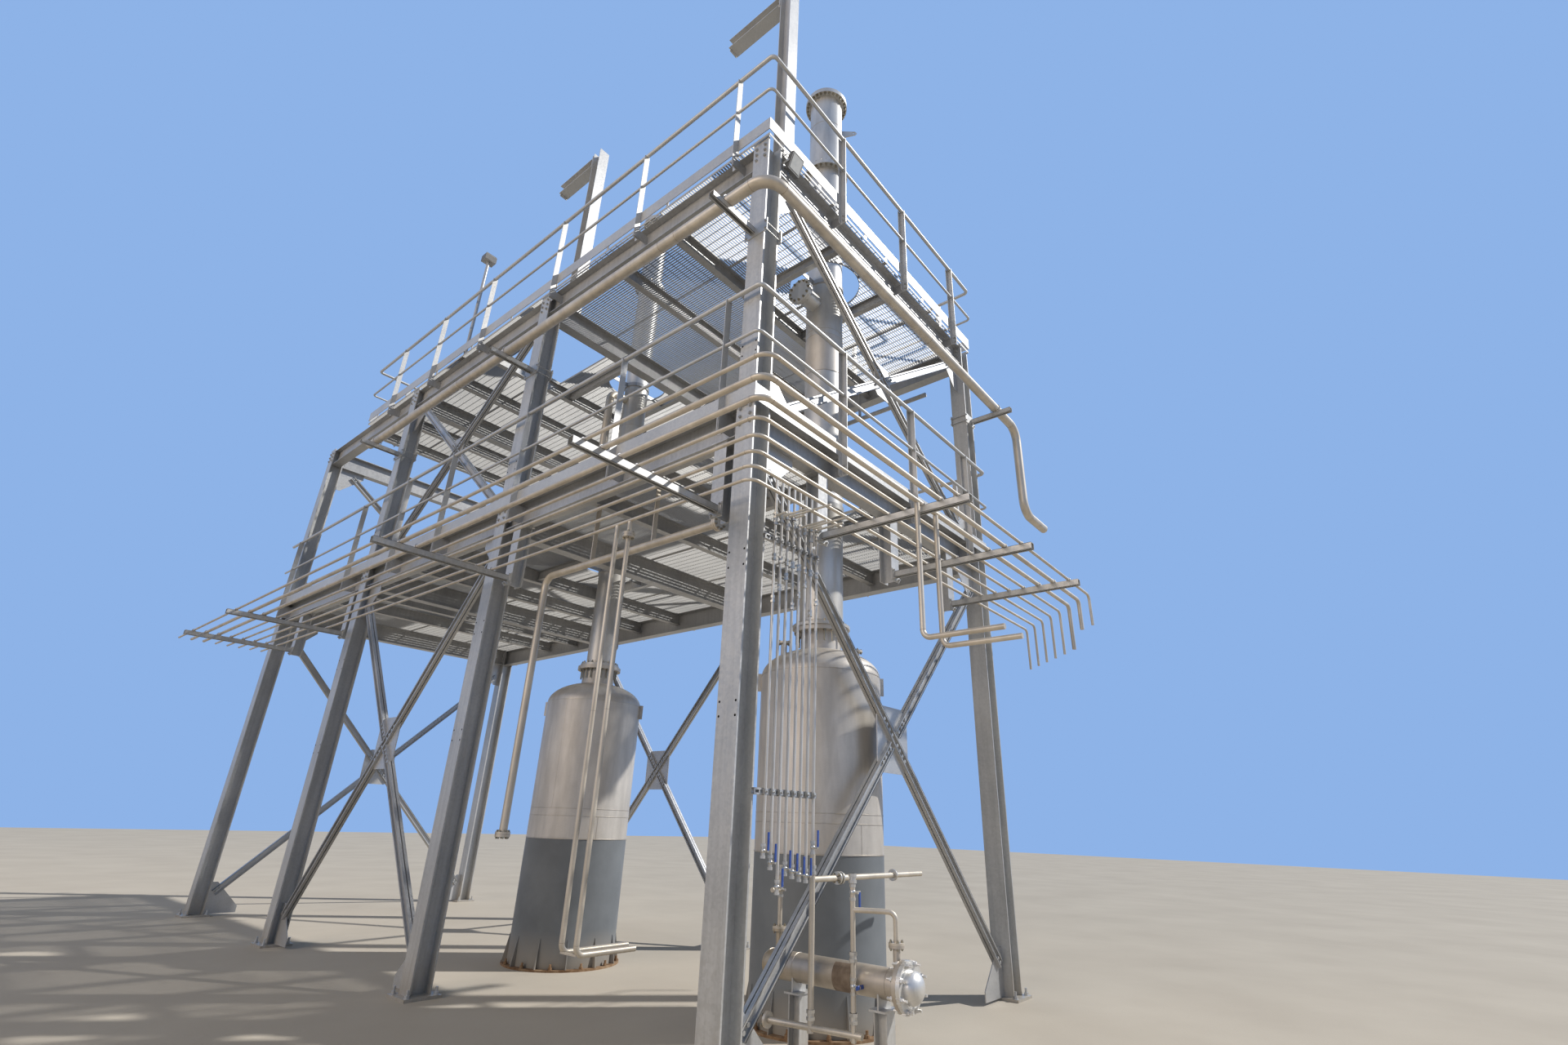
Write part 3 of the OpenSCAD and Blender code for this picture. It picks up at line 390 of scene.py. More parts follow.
joist_y = (1.5, 2.45, 5.4, 6.4, 8.29, 9.19)
cleats, cleat_spots = [], []
for top in beam_tops:
    z0, z1 = top - 0.17, top - 0.035
    for y in joist_y:
        for x, way in ((0.0045, 1), (span - 0.0045, -1)):
            for wide, deep in ((0.008, 0.07), (0.085, 0.0115)):
                cleats.append(between((x, y + 0.0035, z0), (x + way * wide, y + deep, z1)))
            cleat_spots += [((x + way * 0.055, y + 0.0115, z), (0, 1, 0)) for z in (z0 + 0.035, z0 + 0.1)]
flat_bars("joist_cleats", cleats, beam_zinc)
bolts("joist_bolts", cleat_spots, 0.016, bolt_zinc, 1.4)

# Grating of both decks: upright bearing bars a third of a decimetre apart, square cross rods
# welded into them, and a flat bar round each panel, hole and notch. It is dipped after welding
# and pale from the zinc.
grating_zinc = zinc("galvanised_grating", (0.40, 0.40, 0.40), (0.50, 0.50, 0.495), 90.0, 0.5, 0.2, 0.1)
still_x, still_ys, hole_r = 1.97, (0.73, 4.39), 0.44
bar_pitch, rod_pitch, bar_thick, rim_thick, rod_wide = 0.0335, 0.1, 0.003, 0.004, 0.006
edge_x, notch, hatch_box = (-0.12, 4.31), 0.112, ((0.34, 1.21), (4.10, 5.35))


def free_lengths(way, at, half, ends, hatch):
    cuts = []
    for y in still_ys:
        centre = (still_x, y)
        away = max(abs(at - centre[1 - way]) - half, 0.0)
        if away < hole_r:
            chord = sqrt(hole_r ** 2 - away ** 2)
            cuts.append((centre[way] - chord, centre[way] + chord))
    rows = (column_x, column_y)
    if any(abs(at - row) < notch + half for row in rows[1 - way]):
        cuts += [(row - notch, row + notch) for row in rows[way]]
    low, high = hatch_box[1 - way]
    if hatch and low - half < at < high + half:
        cuts.append(hatch_box[way])
    spans = [ends]
    for low, high in cuts:
        spans = [pair for a, b in spans for pair in ((a, min(b, low)), (max(a, high), b))
                 if pair[1] - pair[0] > 0.012]
    return spans


def lay_grating(node, bays, hatch):
    low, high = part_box(node)
    bar_z, rod_z = (low.z + high.z) / 2, high.z - 0.004
    bars, rods = [], []

    def lay(made, way, at, z, ends, thick=0.0, half=0.0):
        for a, b in free_lengths(way, at, half, ends, hatch):
            middle, size = [at, at, z], [thick, thick, 0.0]
            middle[way], size[way] = (a + b) / 2, b - a
            made.append((middle, size))

    width = edge_x[1] - edge_x[0]
    panel_x = [edge_x[0] + i * width / 4 for i in range(5)]
    for y0, y1, way in bays:
        row_gap, line_gap = (bar_pitch, rod_pitch) if way == "x" else (rod_pitch, bar_pitch)
        count = round((y1 - y0) / row_gap)
        for row in range(count + 1):
            y = y0 + bar_thick / 2 + row * (y1 - y0 - bar_thick) / count
            if way == "x" or row in (0, count):
                lay(bars, 0, y, bar_z, edge_x, half=bar_thick / 2)
            else:
                lay(rods, 0, y, rod_z, edge_x, half=rod_wide / 2)
        rims = [edge_x[0] + 0.002, edge_x[1] - 0.002]
        for x in rims + [x + side * rim_thick for x in panel_x[1:4] for side in (-1, 1)]:
            lay(bars, 1, x, bar_z, (y0, y1), rim_thick)
        for x in [edge_x[0] + i * line_gap for i in range(1, round(width / line_gap))]:
            if way == "x":
                lay(rods, 1, x, rod_z, (y0, y1))
            elif min(abs(x - p) for p in panel_x) > 0.009:
                lay(bars, 1, x, bar_z, (y0 + bar_thick, y1 - bar_thick), bar_thick)
    bars += [((x + side * 0.114, y, bar_z), (rim_thick, 0.22, 0.0)) for x in column_x for y in column_y
             for side in (-1, 1) if any(y0 - 0.12 <= y + side * 0.114 <= y1 for y0, y1, way in bays)]
    if hatch:
        bars += [((x, 4.725, bar_z), (rim_thick, 1.258, 0.0)) for x in (0.338, 1.212)]
    bar_deep = high.z - low.z - 0.0006
    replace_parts(flat_bars(node + "_bars", bars, grating_zinc, "grating", bar_thick, bar_deep), node)
    flat_bars(node + "_rods", rods, grating_zinc, "grating", rod_wide, rod_wide)


lay_grating("mid_grating", ((-0.12, 3.748, "x"), (3.752, 7.428, "x"), (7.432, 10.95, "x")), False)
lay_grating("top_grating", ((-0.12, 1.498, "x"), (1.502, 3.748, "y"), (3.752, 7.428, "x"),
                            (7.432, 9.24, "x")), True)


def settle(name, mesh, finish, angle=None):
    mesh.materials.append(finish)
    if angle:
        mesh.shade_smooth()
        mesh.set_sharp_from_angle(angle=radians(angle))
    piece = bpy.data.objects.new(name, mesh)
    scene.collection.objects.link(piece)
    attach(piece, "root")
    return piece


def turned(name, profiles, centre, finish, segments=64, axis="Z"):
    form = bmesh.new()
    for profile in profiles:
        rings = [[form.verts.new((r * cos(2 * pi * i / segments), r * sin(2 * pi * i / segments), z))
                  for i in range(segments)] for r, z in profile]
        for low, high in zip(rings, rings[1:]):
            for i in range(segments):
                j = (i + 1) % segments
                form.faces.new((low[i], low[j], high[j], high[i]))
    bmesh.ops.remove_doubles(form, verts=form.verts, dist=1e-5)
    bmesh.ops.dissolve_degenerate(form, edges=form.edges, dist=1e-6)
    bmesh.ops.recalc_face_normals(form, faces=form.faces)
    mesh = bpy.data.meshes.new(name)
    form.to_mesh(mesh)
    form.free()
    if axis != "Z":
        mesh.transform(Matrix.Rotation(-pi / 2, 4, "X") if axis == "Y" else Matrix.Rotation(pi / 2, 4, "Y"))
    mesh.transform(Matrix.Translation(Vector(centre)))
    return settle(name, mesh, finish, 34.0)


def ring_profile(r, low, high, thick):
    return [(r, low), (r + thick, low), (r + thick, high), (r, high), (r, low)]


for deck in ("mid", "top"):
    low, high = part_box(deck + "_grating")
    band = ring_profile(hole_r - 0.002, low.z + 0.0003, high.z - 0.0003, 0.005)
    for number, y in enumerate(still_ys, 1):
        turned("%s_hole_band_%d" % (deck, number), [band], (still_x, y, 0), grating_zinc, 72)

# Toe plates: flat bars on edge round both decks, paler and smoother than the beams. The upper
# deck's stand clear of the floor on short clips, and the middle deck's cover the grating's edge.
rail_zinc = zinc("galvanised_rails", (0.45, 0.45, 0.45), (0.60, 0.60, 0.59), 80.0, 0.34, 0.35, 0.15)
floors = {"mid": 4.81, "top": 7.86}
deck_ends = {"mid": 10.95, "top": 9.24}
toe_in, toe_out = 0.1203, 0.1283
for deck, low, high in (("mid", 4.725, 4.885), ("top", 7.905, 8.065)):
    end = deck_ends[deck]
    toe = flat_bars(deck + "_toe_plates", [
        between((-toe_out, -toe_out, low), (span + toe_out, -toe_in, high)),
        between((-toe_out, end + 0.0003, low), (span + toe_out, end + 0.0083, high)),
        between((-toe_out, -toe_in + 0.0003, low), (-toe_in, end, high)),
        between((span + toe_in, -toe_in + 0.0003, low), (span + toe_out, end, high))], rail_zinc)
    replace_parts(toe, deck + "_toe")
clips, clip_low, clip_high = [], 7.835, 7.96
for i in range(9):
    clips += [between((x, 0.3 + i * 1.07, clip_low), (x + 0.005, 0.34 + i * 1.07, clip_high))
              for x in (-toe_in, span + toe_in - 0.005)]
    clips += [between((0.25 + i * 0.45, y, clip_low), (0.29 + i * 0.45, y + 0.005, clip_high))
              for y in (-toe_in, deck_ends["top"] - 0.005)]
flat_bars("toe_plate_clips", clips, rail_zinc)

# Guardrails: round rails passed through angle posts, bent to the next side at the corners. Each
# post stands outside the toe plate, reaches down over the beam and is held by two bolts to an
# upright fin on the beam's web.
tree, given = node_tree("bent_pipe", ("Pipe radius",))
spine = step(tree, "GeometryNodeMeshToCurve", {"Mesh": given["Geometry"]})
bend = split(tree, asked(tree, "bend"))["X"]
spine = step(tree, "GeometryNodeFilletCurve", {"Curve": spine, "Count": 8, "Radius": bend}, mode="POLY")
rim = step(tree, "GeometryNodeCurvePrimitiveCircle", {"Resolution": 20, "Radius": given["Pipe radius"]})
pipe_tree = close_tree(tree, given, step(tree, "GeometryNodeCurveToMesh", {
    "Curve": spine, "Profile Curve": rim, "Fill Caps": True}))


def pipes(name, runs, radius, finish, slot="stainless_pipe", bend=0.06):
    places, edges, bends = [], [], []
    for run in runs:
        first = len(places)
        points = run[:-1] if run[0] == run[-1] else run
        places += [p[:3] for p in points]
        bends += [(p[3] if len(p) > 3 else bend, 0.0, 0.0) for p in points]
        edges += [(first + i, first + i + 1) for i in range(len(points) - 1)]
        if len(points) < len(run):
            edges.append((len(places) - 1, first))
    return grow(name, pipe_tree, places, {"Pipe radius": radius}, finish, slot, edges, 40.0, bend=bends)


rail_off, rail_end, upper_rail, middle_rail = 0.1636, 11.099, 1.08, 0.58
far_x, far_y = span + rail_off, deck_ends["top"] - 0.12 + rail_off
for height, radius, name in ((upper_rail, 0.023, "upper_rails"), (middle_rail, 0.016, "middle_rails")):
    mid, top = floors["mid"] + height, floors["top"] + height
    rails = pipes(name, [
        [(-rail_off, rail_end, mid), (-rail_off, -rail_off, mid), (far_x, -rail_off, mid),
         (far_x, rail_end, mid)],
        [(-rail_off, -rail_off, top), (far_x, -rail_off, top), (far_x, far_y, top), (-rail_off, far_y, top),
         (-rail_off, -rail_off, top)]], radius, rail_zinc, "galvanised", 0.055)
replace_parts(rails, "mid_rails_across", "mid_rails_along", "top_rails_across", "top_rails_along")

long_posts = {"mid": (0.23, 1.70, 3.45, 5.20, 6.50, 8.00, 10.70),
              "top": (0.31, 1.85, 3.52, 5.31, 6.80, 8.20)}
post_foot = {"mid": 0.30, "top": 0.22}
leg, wall, toe_face = 0.07, 0.007, toe_out + 0.0003
posts, fins, post_spots = [], [], []
for deck, floor in floors.items():
    stands = [(x, 0.0, (0, -1), 0.0) for x in (1.10, 2.44, 3.76)]
    stands += [(x, y, (way, 0), 0.0) for y in long_posts[deck] for x, way in ((0.0, -1), (span, 1))]
    if deck == "top":
        stands += [(x, deck_ends["top"] - 0.12, (0, 1), 0.052) for x in (0.40, 1.50, 2.60, 3.76)]
    low = floor - post_foot[deck]
    foot, head = Vector((0, 0, low)), Vector((0, 0, floor + upper_rail))
    for x, y, way, setback in stands:
        out = Vector((*way, 0))
        side = Vector((1, 0, 0)) if way[0] == 0 else Vector((0, -1, 0))
        heel = Vector((x, y, 0)) + out * toe_face
        # one leg points outwards and holds the rails, the other lies along the toe plate
        posts.append(between(heel + foot, heel + out * leg + side * wall + head))
        posts.append(between(heel + foot, heel + out * wall - side * 0.045 + head))
        root = Vector((x, y, low + 0.01)) + out * (0.004 + setback) + side * (wall + 0.0002)
        fins.append(between(root, heel + out * 0.062 + side * 0.0172 + Vector((0, 0, floor - 0.09))))
        post_spots += [(heel + out * 0.04 + Vector((0, 0, low + rise)), -side) for rise in (0.035, 0.10)]
flat_bars("guardrail_posts", posts, rail_zinc)
flat_bars("guardrail_fins", fins, beam_zinc)
bolts("guardrail_bolts", post_spots, 0.016, bolt_zinc, 1.3)

# Braces: pairs of cold-rolled channels back to back with turned-in lips, that cross on an upright
# plate with cut corners and end on corner plates. All are galvanised, brighter than the rolled
# steel, and held by a row of bolts near each end.
brace_zinc = zinc("galvanised_braces", (0.40, 0.405, 0.415), (0.58, 0.58, 0.58), 70.0, 0.3, 0.45, 0.08)
coat(("braces_short", "braces_near", "braces_far", "braces_end"), brace_zinc)


def turned_to(along, up):
    along, up = Vector(along).normalized(), Vector(up).normalized()
    return tuple(Matrix((along, up.cross(along), up)).transposed().to_euler())


x_way, y_way, plate_half = Vector((1, 0, 0)), Vector((0, 1, 0)), 0.07
faces = [(Vector((0, y, 0)), x_way, y_way, span) for y in (column_y[0], column_y[3])]
faces += [(Vector((x, column_y[1], 0)), y_way, x_way, 3.68) for x in column_x]
panels = ((0.13, 4.39, 0.25, (0.06, 0.12, 0.18, 0.24)), (4.64, 7.67, 0.42, (0.05, 0.10, 0.15)))
lips, brace_spots = [], []
for start, level, out, width in faces:
    for z0, z1, cut, steps in panels:
        for first, last, through in ((z1, z0, True), (z0, z1, False)):
            a, b = start + Vector((0, 0, first)), start + level * width + Vector((0, 0, last))
            length = (b - a).length
            line = (b - a) / length
            square = line.cross(out)
            half = length / 2
            ends = [(cut, length - cut)]
            if not through:
                ends = [(cut, half - plate_half), (half + plate_half, length - cut)]
            marks = [cut + 0.03, cut + 0.085, length - cut - 0.03, length - cut - 0.085]
            marks += [half + side * (away + (0.0 if through else 0.05)) for away in steps for side in (-1, 1)]
            for side in (-1, 1):
                lips += [(a + line * (u + v) / 2 + out * side * 0.0343 + square * edge * 0.0365,
                          (v - u, 0.015, 0.002), turned_to(line, out * side))
                         for u, v in ends for edge in (-1, 1)]
                brace_spots += [(a + line * mark + out * side * 0.0124, out * side) for mark in marks]
flat_bars("brace_lips", lips, brace_zinc)
bolts("brace_bolts", brace_spots, 0.018, bolt_zinc, 1.0)


def rounded(finish, *nodes):
    for node in nodes:
        form = bmesh.new()
        form.from_mesh(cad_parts[node].data)
        bmesh.ops.remove_doubles(form, verts=form.verts, dist=1e-5)
        mesh = bpy.data.meshes.new(node + "_smooth")
        mesh.from_pydata([v.co[:] for v in form.verts], [], [[v.index for v in f.verts] for f in form.faces])
        form.free()
        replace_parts(settle(node + "_smooth", mesh, finish, 32.0), node)


def stainless(name, dark, light, gloss=0.36, metallic=0.5, tint=None):
    finish, tree, shader, place = new_finish(name, metallic)
    brushed = noise(tree, place, 30.0, 3.0, (1.0, 1.0, 14.0))
    smears = noise(tree, place, 5.0, 5.0, (2.0, 2.0, 0.4))
    tone = ramp(tree, noise(tree, place, 1.7, 6.0), ((0.28, dark), (0.72, light)))
    tone = blend(tree, "MULTIPLY", 0.5, tone, ramp(tree, brushed, ((0.3, 0.84), (0.7, 1.0))))
    tone = blend(tree, "MULTIPLY", 0.5, tone, ramp(tree, smears, ((0.38, 0.72), (0.6, 1.0))))
    if tint:
        axis, start, end, colour = tint
        far = step(tree, "ShaderNodeMapRange", {"Value": split(tree, place)[axis], "From Min": start,
                                                "From Max": end})
        tone = blend(tree, "MIX", calc(tree, far, "*", 0.7), tone, colour)
    shade(tree, shader, tone, brushed, (gloss, gloss + 0.16), brushed, 0.0003)
    return finish


def rust(name, stops):
    return mottled(name, (14.0, 8.0), stops, (90.0, 4.0), (0.7, 0.95), 0.002, 0.1, 0.3)


pot_steel = stainless("stainless_pots", (0.54, 0.50, 0.45), (0.70, 0.66, 0.61), 0.38, 0.4)
shaft_steel = stainless("stainless_columns", (0.54, 0.53, 0.51), (0.70, 0.69, 0.67), 0.34, 0.45)
seam_steel = stainless("ground_seams", (0.50, 0.44, 0.36), (0.66, 0.61, 0.54), 0.3, 0.6)
nut_steel = stainless("flange_nuts", (0.26, 0.23, 0.17), (0.46, 0.42, 0.33), 0.3, 0.7)
ring_rust = rust("rusted_rings", ((0.3, (0.13, 0.07, 0.035)), (0.5, (0.25, 0.155, 0.09)),
                                  (0.7, (0.36, 0.26, 0.17))))
skirt_grey = mottled("skirt_grey", (2.5, 5.0), ((0.3, (0.135, 0.15, 0.17)), (0.7, (0.185, 0.205, 0.23))),
                     (60.0, 3.0), (0.42, 0.6), 0.0005, specular=0.4,
                     dust=(0.3, (0.1, 0.7), 0.5, (0.38, 0.33, 0.27)))
rounded(ring_rust, "pot_rings")
rounded(shaft_steel, "shaft_covers")
for still in "12":
    rounded(skirt_grey, "pot_%s_skirt" % still)
    rounded(pot_steel, "pot_%s_shell" % still, "pot_%s_head" % still)
    rounded(shaft_steel, "shaft_%s_low" % still, "shaft_%s_top" % still)

tree, given = node_tree("weld_bead", ("Ring radius", "Bead radius"))
loop = step(tree, "GeometryNodeCurvePrimitiveCircle", {"Resolution": 32, "Radius": given["Ring radius"]})
dot = step(tree, "GeometryNodeCurvePrimitiveCircle", {"Resolution": 3, "Radius": given["Bead radius"]})
bead = step(tree, "GeometryNodeCurveToMesh", {"Curve": loop, "Profile Curve": dot})
bead_tree = set_out(tree, given, bead)


def beads(name, spots, ring, bead, finish, slot="stainless_pipe"):
    stand(name, bead_tree, spots, {"Ring radius": ring, "Bead radius": bead}, finish, slot, smooth=60.0)


# bolts round a flange's circle, where each face is given by its place along the axis and its way
def bolt_circle(centre, axis, radius, count, faces, start=0.5):
    first, second = [i for i in range(3) if i != axis]
    spots = []
    for i in range(count):
        a = 2 * pi * (i + start) / count
        for along, way in faces:
            place, out = list(centre), [0, 0, 0]
            place[axis], out[axis] = along, way
            place[first] += radius * cos(a)
            place[second] += radius * sin(a)
            spots.append((place, out))
    return spots


up = (0, 0, 1)
pot_r = 0.588
gusset_places, gusset_turns, seams = [], [], []
foot_bolts, still_bolts, neck_studs, cover_nuts = [], [], [], []
for number, y, shaft_r, neck_r in ((1, still_ys[0], 0.225, 0.252), (2, still_ys[1], 0.178, 0.224)):
    foot, flange_r = (still_x, y, 0), shaft_r + 0.045
    rings = [(pot_r, z, 0.003) for z in (1.54, 1.62, 2.866)] + [(pot_r, 1.297, 0.0045)]
    rings += [(shaft_r, z, 0.0022) for z in (3.42, 5.35, 7.02, 8.86, 9.81, 10.6)]
    ridges = [[(r - 0.001, z - 1.6 * proud), (r + proud, z - proud), (r + proud, z + proud),
               (r - 0.001, z + 1.6 * proud)] for r, z, proud in rings]
    turned("still_%d_seams" % number, ridges, foot, seam_steel, 72)
    for angle, low, high in ((200, 1.62, 2.866), (255, 1.30, 1.54), (20, 1.62, 2.866)):
        a = radians(angle)
        middle = (still_x + pot_r * cos(a), y + pot_r * sin(a), (low + high) / 2)
        seams.append((middle, (0.003, 0.005, high - low), (0, 0, a)))
    gusset_turns += [(0, 0, radians(30 * i)) for i in range(12)]
    gusset_places += [(still_x + 0.612 * cos(a), y + 0.612 * sin(a), 0.16) for _, _, a in gusset_turns[-12:]]
    foot_bolts += bolt_circle(foot, 2, 0.622, 12, [(0.02, 1)])
    neck_studs += bolt_circle(foot, 2, neck_r, 20, [(3.315, -1)])
    still_bolts += bolt_circle(foot, 2, neck_r, 20, [(3.39, 1)])
    still_bolts += bolt_circle(foot, 2, flange_r, 24, [(9.71, -1), (9.7703, 1)])
    still_bolts += bolt_circle(foot, 2, flange_r, 28, [(11.12, -1)])
    cover_nuts += bolt_circle(foot, 2, flange_r, 28, [(11.1705, 1)])
flat_bars("pot_upright_seams", seams, seam_steel, "stainless_shell")

tree, given = node_tree("gusset", ("Width", "Thickness", "Height", "Top share"))
corner = split(tree, step(tree, "GeometryNodeInputPosition"))
taper = calc(tree, calc(tree, 0.5, "-", corner["Z"]), "+", given["Top share"])
slant = calc(tree, calc(tree, calc(tree, corner["X"], "+", 0.5), "*", taper), "-", 0.5)
slanted = step(tree, "ShaderNodeCombineXYZ", {"X": slant, "Y": corner["Y"], "Z": corner["Z"]})
gusset_size = step(tree, "ShaderNodeCombineXYZ", {"X": given["Width"], "Y": given["Thickness"],
                                                  "Z": given["Height"]})
gusset_tree = set_out(tree, given, step(tree, "GeometryNodeSetPosition", {
    "Geometry": step(tree, "GeometryNodeMeshCube"), "Position": slanted}), gusset_size)
grow("skirt_gussets", gusset_tree, gusset_places,
     {"Width": 0.05, "Thickness": 0.01, "Height": 0.28, "Top share": 0.12}, skirt_grey, "skirt_paint",
     turn=gusset_turns)
bolts("still_anchor_bolts", foot_bolts, 0.024, ring_rust, 2.2, "rusted_ring")
bolts("neck_studs", neck_studs, 0.018, nut_steel, 6.4, "stainless_shell")
bolts("flange_bolts", still_bolts, 0.018, nut_steel, 1.9, "stainless_shell")
stand("cover_nuts", bolt_tree, cover_nuts, {
    "Head width": 0.03, "Head height": 0.0175, "Washer width": 0.02, "Washer height": 0.0,
    "Stud width": 0.018, "Stud height": 0.0175}, nut_steel, "stainless_shell")

branch_x, branch_z = still_x - 0.4825, 7.42
bolts("side_branch_bolts", bolt_circle((0, still_ys[0], branch_z), 0, 0.135, 12,
                                       [(branch_x + 0.0275, 1), (branch_x - 0.0275, -1)], 0),
      0.016, nut_steel, 1.5, "stainless_shell")
# a near-black ring of painted shade in the gap between the branch's two flanges
beads("side_branch_joint_shadow", [((branch_x, still_ys[0], branch_z), (1, 0, 0))], 0.1598, 0.0012, hole_shadow,
      "stainless_shell")
nozzle_bolts = []
for angle in (-30, 150):
    nozzle = (still_x + 0.4 * cos(radians(angle)), still_ys[0] + 0.4 * sin(radians(angle)), 0)
    nozzle_bolts += bolt_circle(nozzle, 2, 0.047, 4, [(3.1948, 1), (3.1748, -1)])
bolts("head_nozzle_bolts", nozzle_bolts, 0.012, nut_steel, 1.4, "stainless_shell")

# A thin sleeve wraps the first still's column above the middle deck, and each pot has two bent
# lifting lugs at its shoulder: all are stainless plate, welded on.
sleeve_low, sleeve_high = 6.42, 6.94
turned("shaft_1_sleeve", [ring_profile(0.2252, sleeve_low, sleeve_high, 0.003)], (still_x, still_ys[0], 0),
       pot_steel)
beads("shaft_1_sleeve_edges", [((still_x, still_ys[0], z), up) for z in (sleeve_low, sleeve_high)],
      0.2285, 0.0022, seam_steel, "stainless_shell")
lug_plates = ((0.605, 2.80, (0.05, 0.012, 0.16)), (0.58, 2.886, (0.10, 0.012, 0.012)))
shoulder_lugs = [((still_x + r * cos(a), y + r * sin(a), z), size, (0, 0, a))
                 for y in still_ys for a in (radians(-48), radians(132)) for r, z, size in lug_plates]
flat_bars("shoulder_lugs", shoulder_lugs, pot_steel, "stainless_shell")

# Bank of eight pipes: pickled stainless, warm and dull, bent round the corner in one piece and
# turned down at the end of the short face. Each lies on galvanised strut arms, open below, that are
# bolted to hanging stubs, and is held down by a U-bolt.
pipe_steel = stainless("stainless_pipes", (0.54, 0.48, 0.40), (0.70, 0.64, 0.55), 0.36, 0.4)
weld_tint = stainless("heat_tinted_welds", (0.20, 0.14, 0.08), (0.34, 0.25, 0.15), 0.4, 0.5)
arm_low, arm_high, arm_half = 3.824, 3.884, 0.03
arm_root, arm_tip = 0.0703, 1.4693
arm_x, arm_y = (0.90, 2.13, 3.35), (0.29, 3.40, 7.80, 9.80)


def strut(low, high, along):
    wall, lip, side = 0.003, 0.015, 1 - along
    made = [between((low[0], low[1], high[2] - wall), high)]
    for start, way in ((low[side], 1), (high[side], -1)):
        for reach, top in ((wall, high[2]), (lip, low[2] + wall)):
            a, b = list(low), [*high[:2], top]
            a[side], b[side] = sorted((start, start + way * reach))
            made.append(between(a, b))
    return made


arms, hanger_plates, hanger_spots = [], [], []
for x in arm_x:
    arms += strut((x - arm_half, -arm_tip, arm_low), (x + arm_half, -arm_root, arm_high), 1)
for y in arm_y:
    arms += strut((-arm_tip, y - arm_half, arm_low), (-arm_root, y + arm_half, arm_high), 0)
hangers = [(x, 0.0, (0, -1, 0), (0.13, 0.008, 0.12)) for x in arm_x]
hangers += [(0.0, y, (-1, 0, 0), (0.008, 0.13, 0.12)) for y in arm_y]
stub_top, arm_z = 4.47, 3.85
for x, y, way, size in hangers:
    hanger_plates.append(between((x - 0.09, y - 0.09, stub_top), (x + 0.09, y + 0.09, stub_top + 0.009)))
    hanger_spots += [((x + i * 0.05, y + j * 0.05, stub_top), (0, 0, -1)) for i in (-1, 1) for j in (-1, 1)]
    out, side = Vector(way), Vector((way[1], way[0], 0))
    root = Vector((x, y, 0)) + out * arm_root
    hanger_plates.append((root + Vector((0, 0, arm_z)) + out * 0.004, size))
    hanger_spots += [(root + side * 0.047 * i + Vector((0, 0, arm_z + 0.042 * j)) + out * 0.008, way)
                     for i in (-1, 1) for j in (-1, 1)]
coat(("bank_hangers",), column_zinc)
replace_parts(flat_bars("bank_strut_arms", arms, column_zinc), "bank_arms")
flat_bars("hanger_plates", hanger_plates, column_zinc)
bolts("hanger_bolts", hanger_spots, 0.014, bolt_zinc, 1.4)

tree, given = node_tree("u_bolt", ("Pipe radius", "Rod radius", "Leg length"))
half_width = calc(tree, given["Pipe radius"], "+", given["Rod radius"])
arc = add_node(tree, "GeometryNodeCurveArc", {"Resolution": 9, "Radius": half_width, "Start Angle": 0.0,
                                              "Sweep Angle": pi}, mode="RADIUS").outputs["Curve"]
rod = step(tree, "GeometryNodeCurvePrimitiveCircle", {"Resolution": 6, "Radius": given["Rod radius"]})
hoop = step(tree, "GeometryNodeCurveToMesh", {"Curve": arc, "Profile Curve": rod})
rod_width = calc(tree, given["Rod radius"], "*", 2.0)
leg_foot, nut_foot = calc(tree, given["Leg length"], "*", -1.0), calc(tree, given["Pipe radius"], "*", -1.0)
legs = join(tree, (prism(tree, 6, rod_width, leg_foot, given["Leg length"]),
                   prism(tree, 6, calc(tree, rod_width, "*", 2.0), nut_foot, rod_width)))
clamp_tree = set_out(tree, given, join(tree, (
    moved(tree, hoop, turn=(pi / 2, 0.0, 0.0)), moved(tree, legs, x=half_width),
    moved(tree, legs, x=calc(tree, half_width, "*", -1.0)))))


def u_bolts(name, spots, pipe_radius, rod_radius, leg_length):
    sizes = {"Pipe radius": pipe_radius, "Rod radius": rod_radius, "Leg length": leg_length}
    grow(name, clamp_tree, [place for place, _ in spots], sizes, bolt_zinc, "galvanised", smooth=50.0,
         turn=[(0, 0, radians(angle)) for _, angle in spots])


bank_bend, bank_clamps = 0.09, []
for radius, places in ((0.014, (0, 1, 2, 3, 4, 7)), (0.021, (5, 6))):
    runs, welds, spots = [], [], []
    z = arm_high + 0.0003 + radius
    for i in places:
        off = 0.27 + 0.157 * i
        end_x, end_z = 5.025 - 0.15 * i, z - (0.33 if i > 5 else 0.50)
        runs.append([(-off, 10.6, z), (-off, -off, z, bank_bend), (end_x, -off, z), (end_x, -off, end_z)])
        welds += [((-off, bank_bend - off, z), (0, 1, 0)), ((bank_bend - off, -off, z), (1, 0, 0)),
                  ((-off, 5.6, z), (0, 1, 0))]
        spots += [((x, -off, arm_high + radius), 90) for x in arm_x]
        spots += [((-off, y, arm_high + radius), 0) for y in arm_y]
    size = round(radius * 2000)
    bank_pipes = pipes("bank_pipes_%d" % size, runs, radius, pipe_steel)
    beads("bank_welds_%d" % size, welds, radius, 0.0012, weld_tint)
    bank_clamps.append(("bank_u_bolts_%d" % size, spots, radius, 0.004, radius + 0.016))
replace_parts(bank_pipes, "bank_long", "bank_short")
for clamp in bank_clamps:
    u_bolts(*clamp)

# Risers beside the near row, the pair of pipes that drop before the short face, the low pipe under
# the middle deck and the pipe beside the second still: the same pickled stainless pipe, with bolted
# flanges and faint brown welds at the bends.
rounded(pipe_steel, "risers", "drop_pipes", "low_pipe", "still_riser")


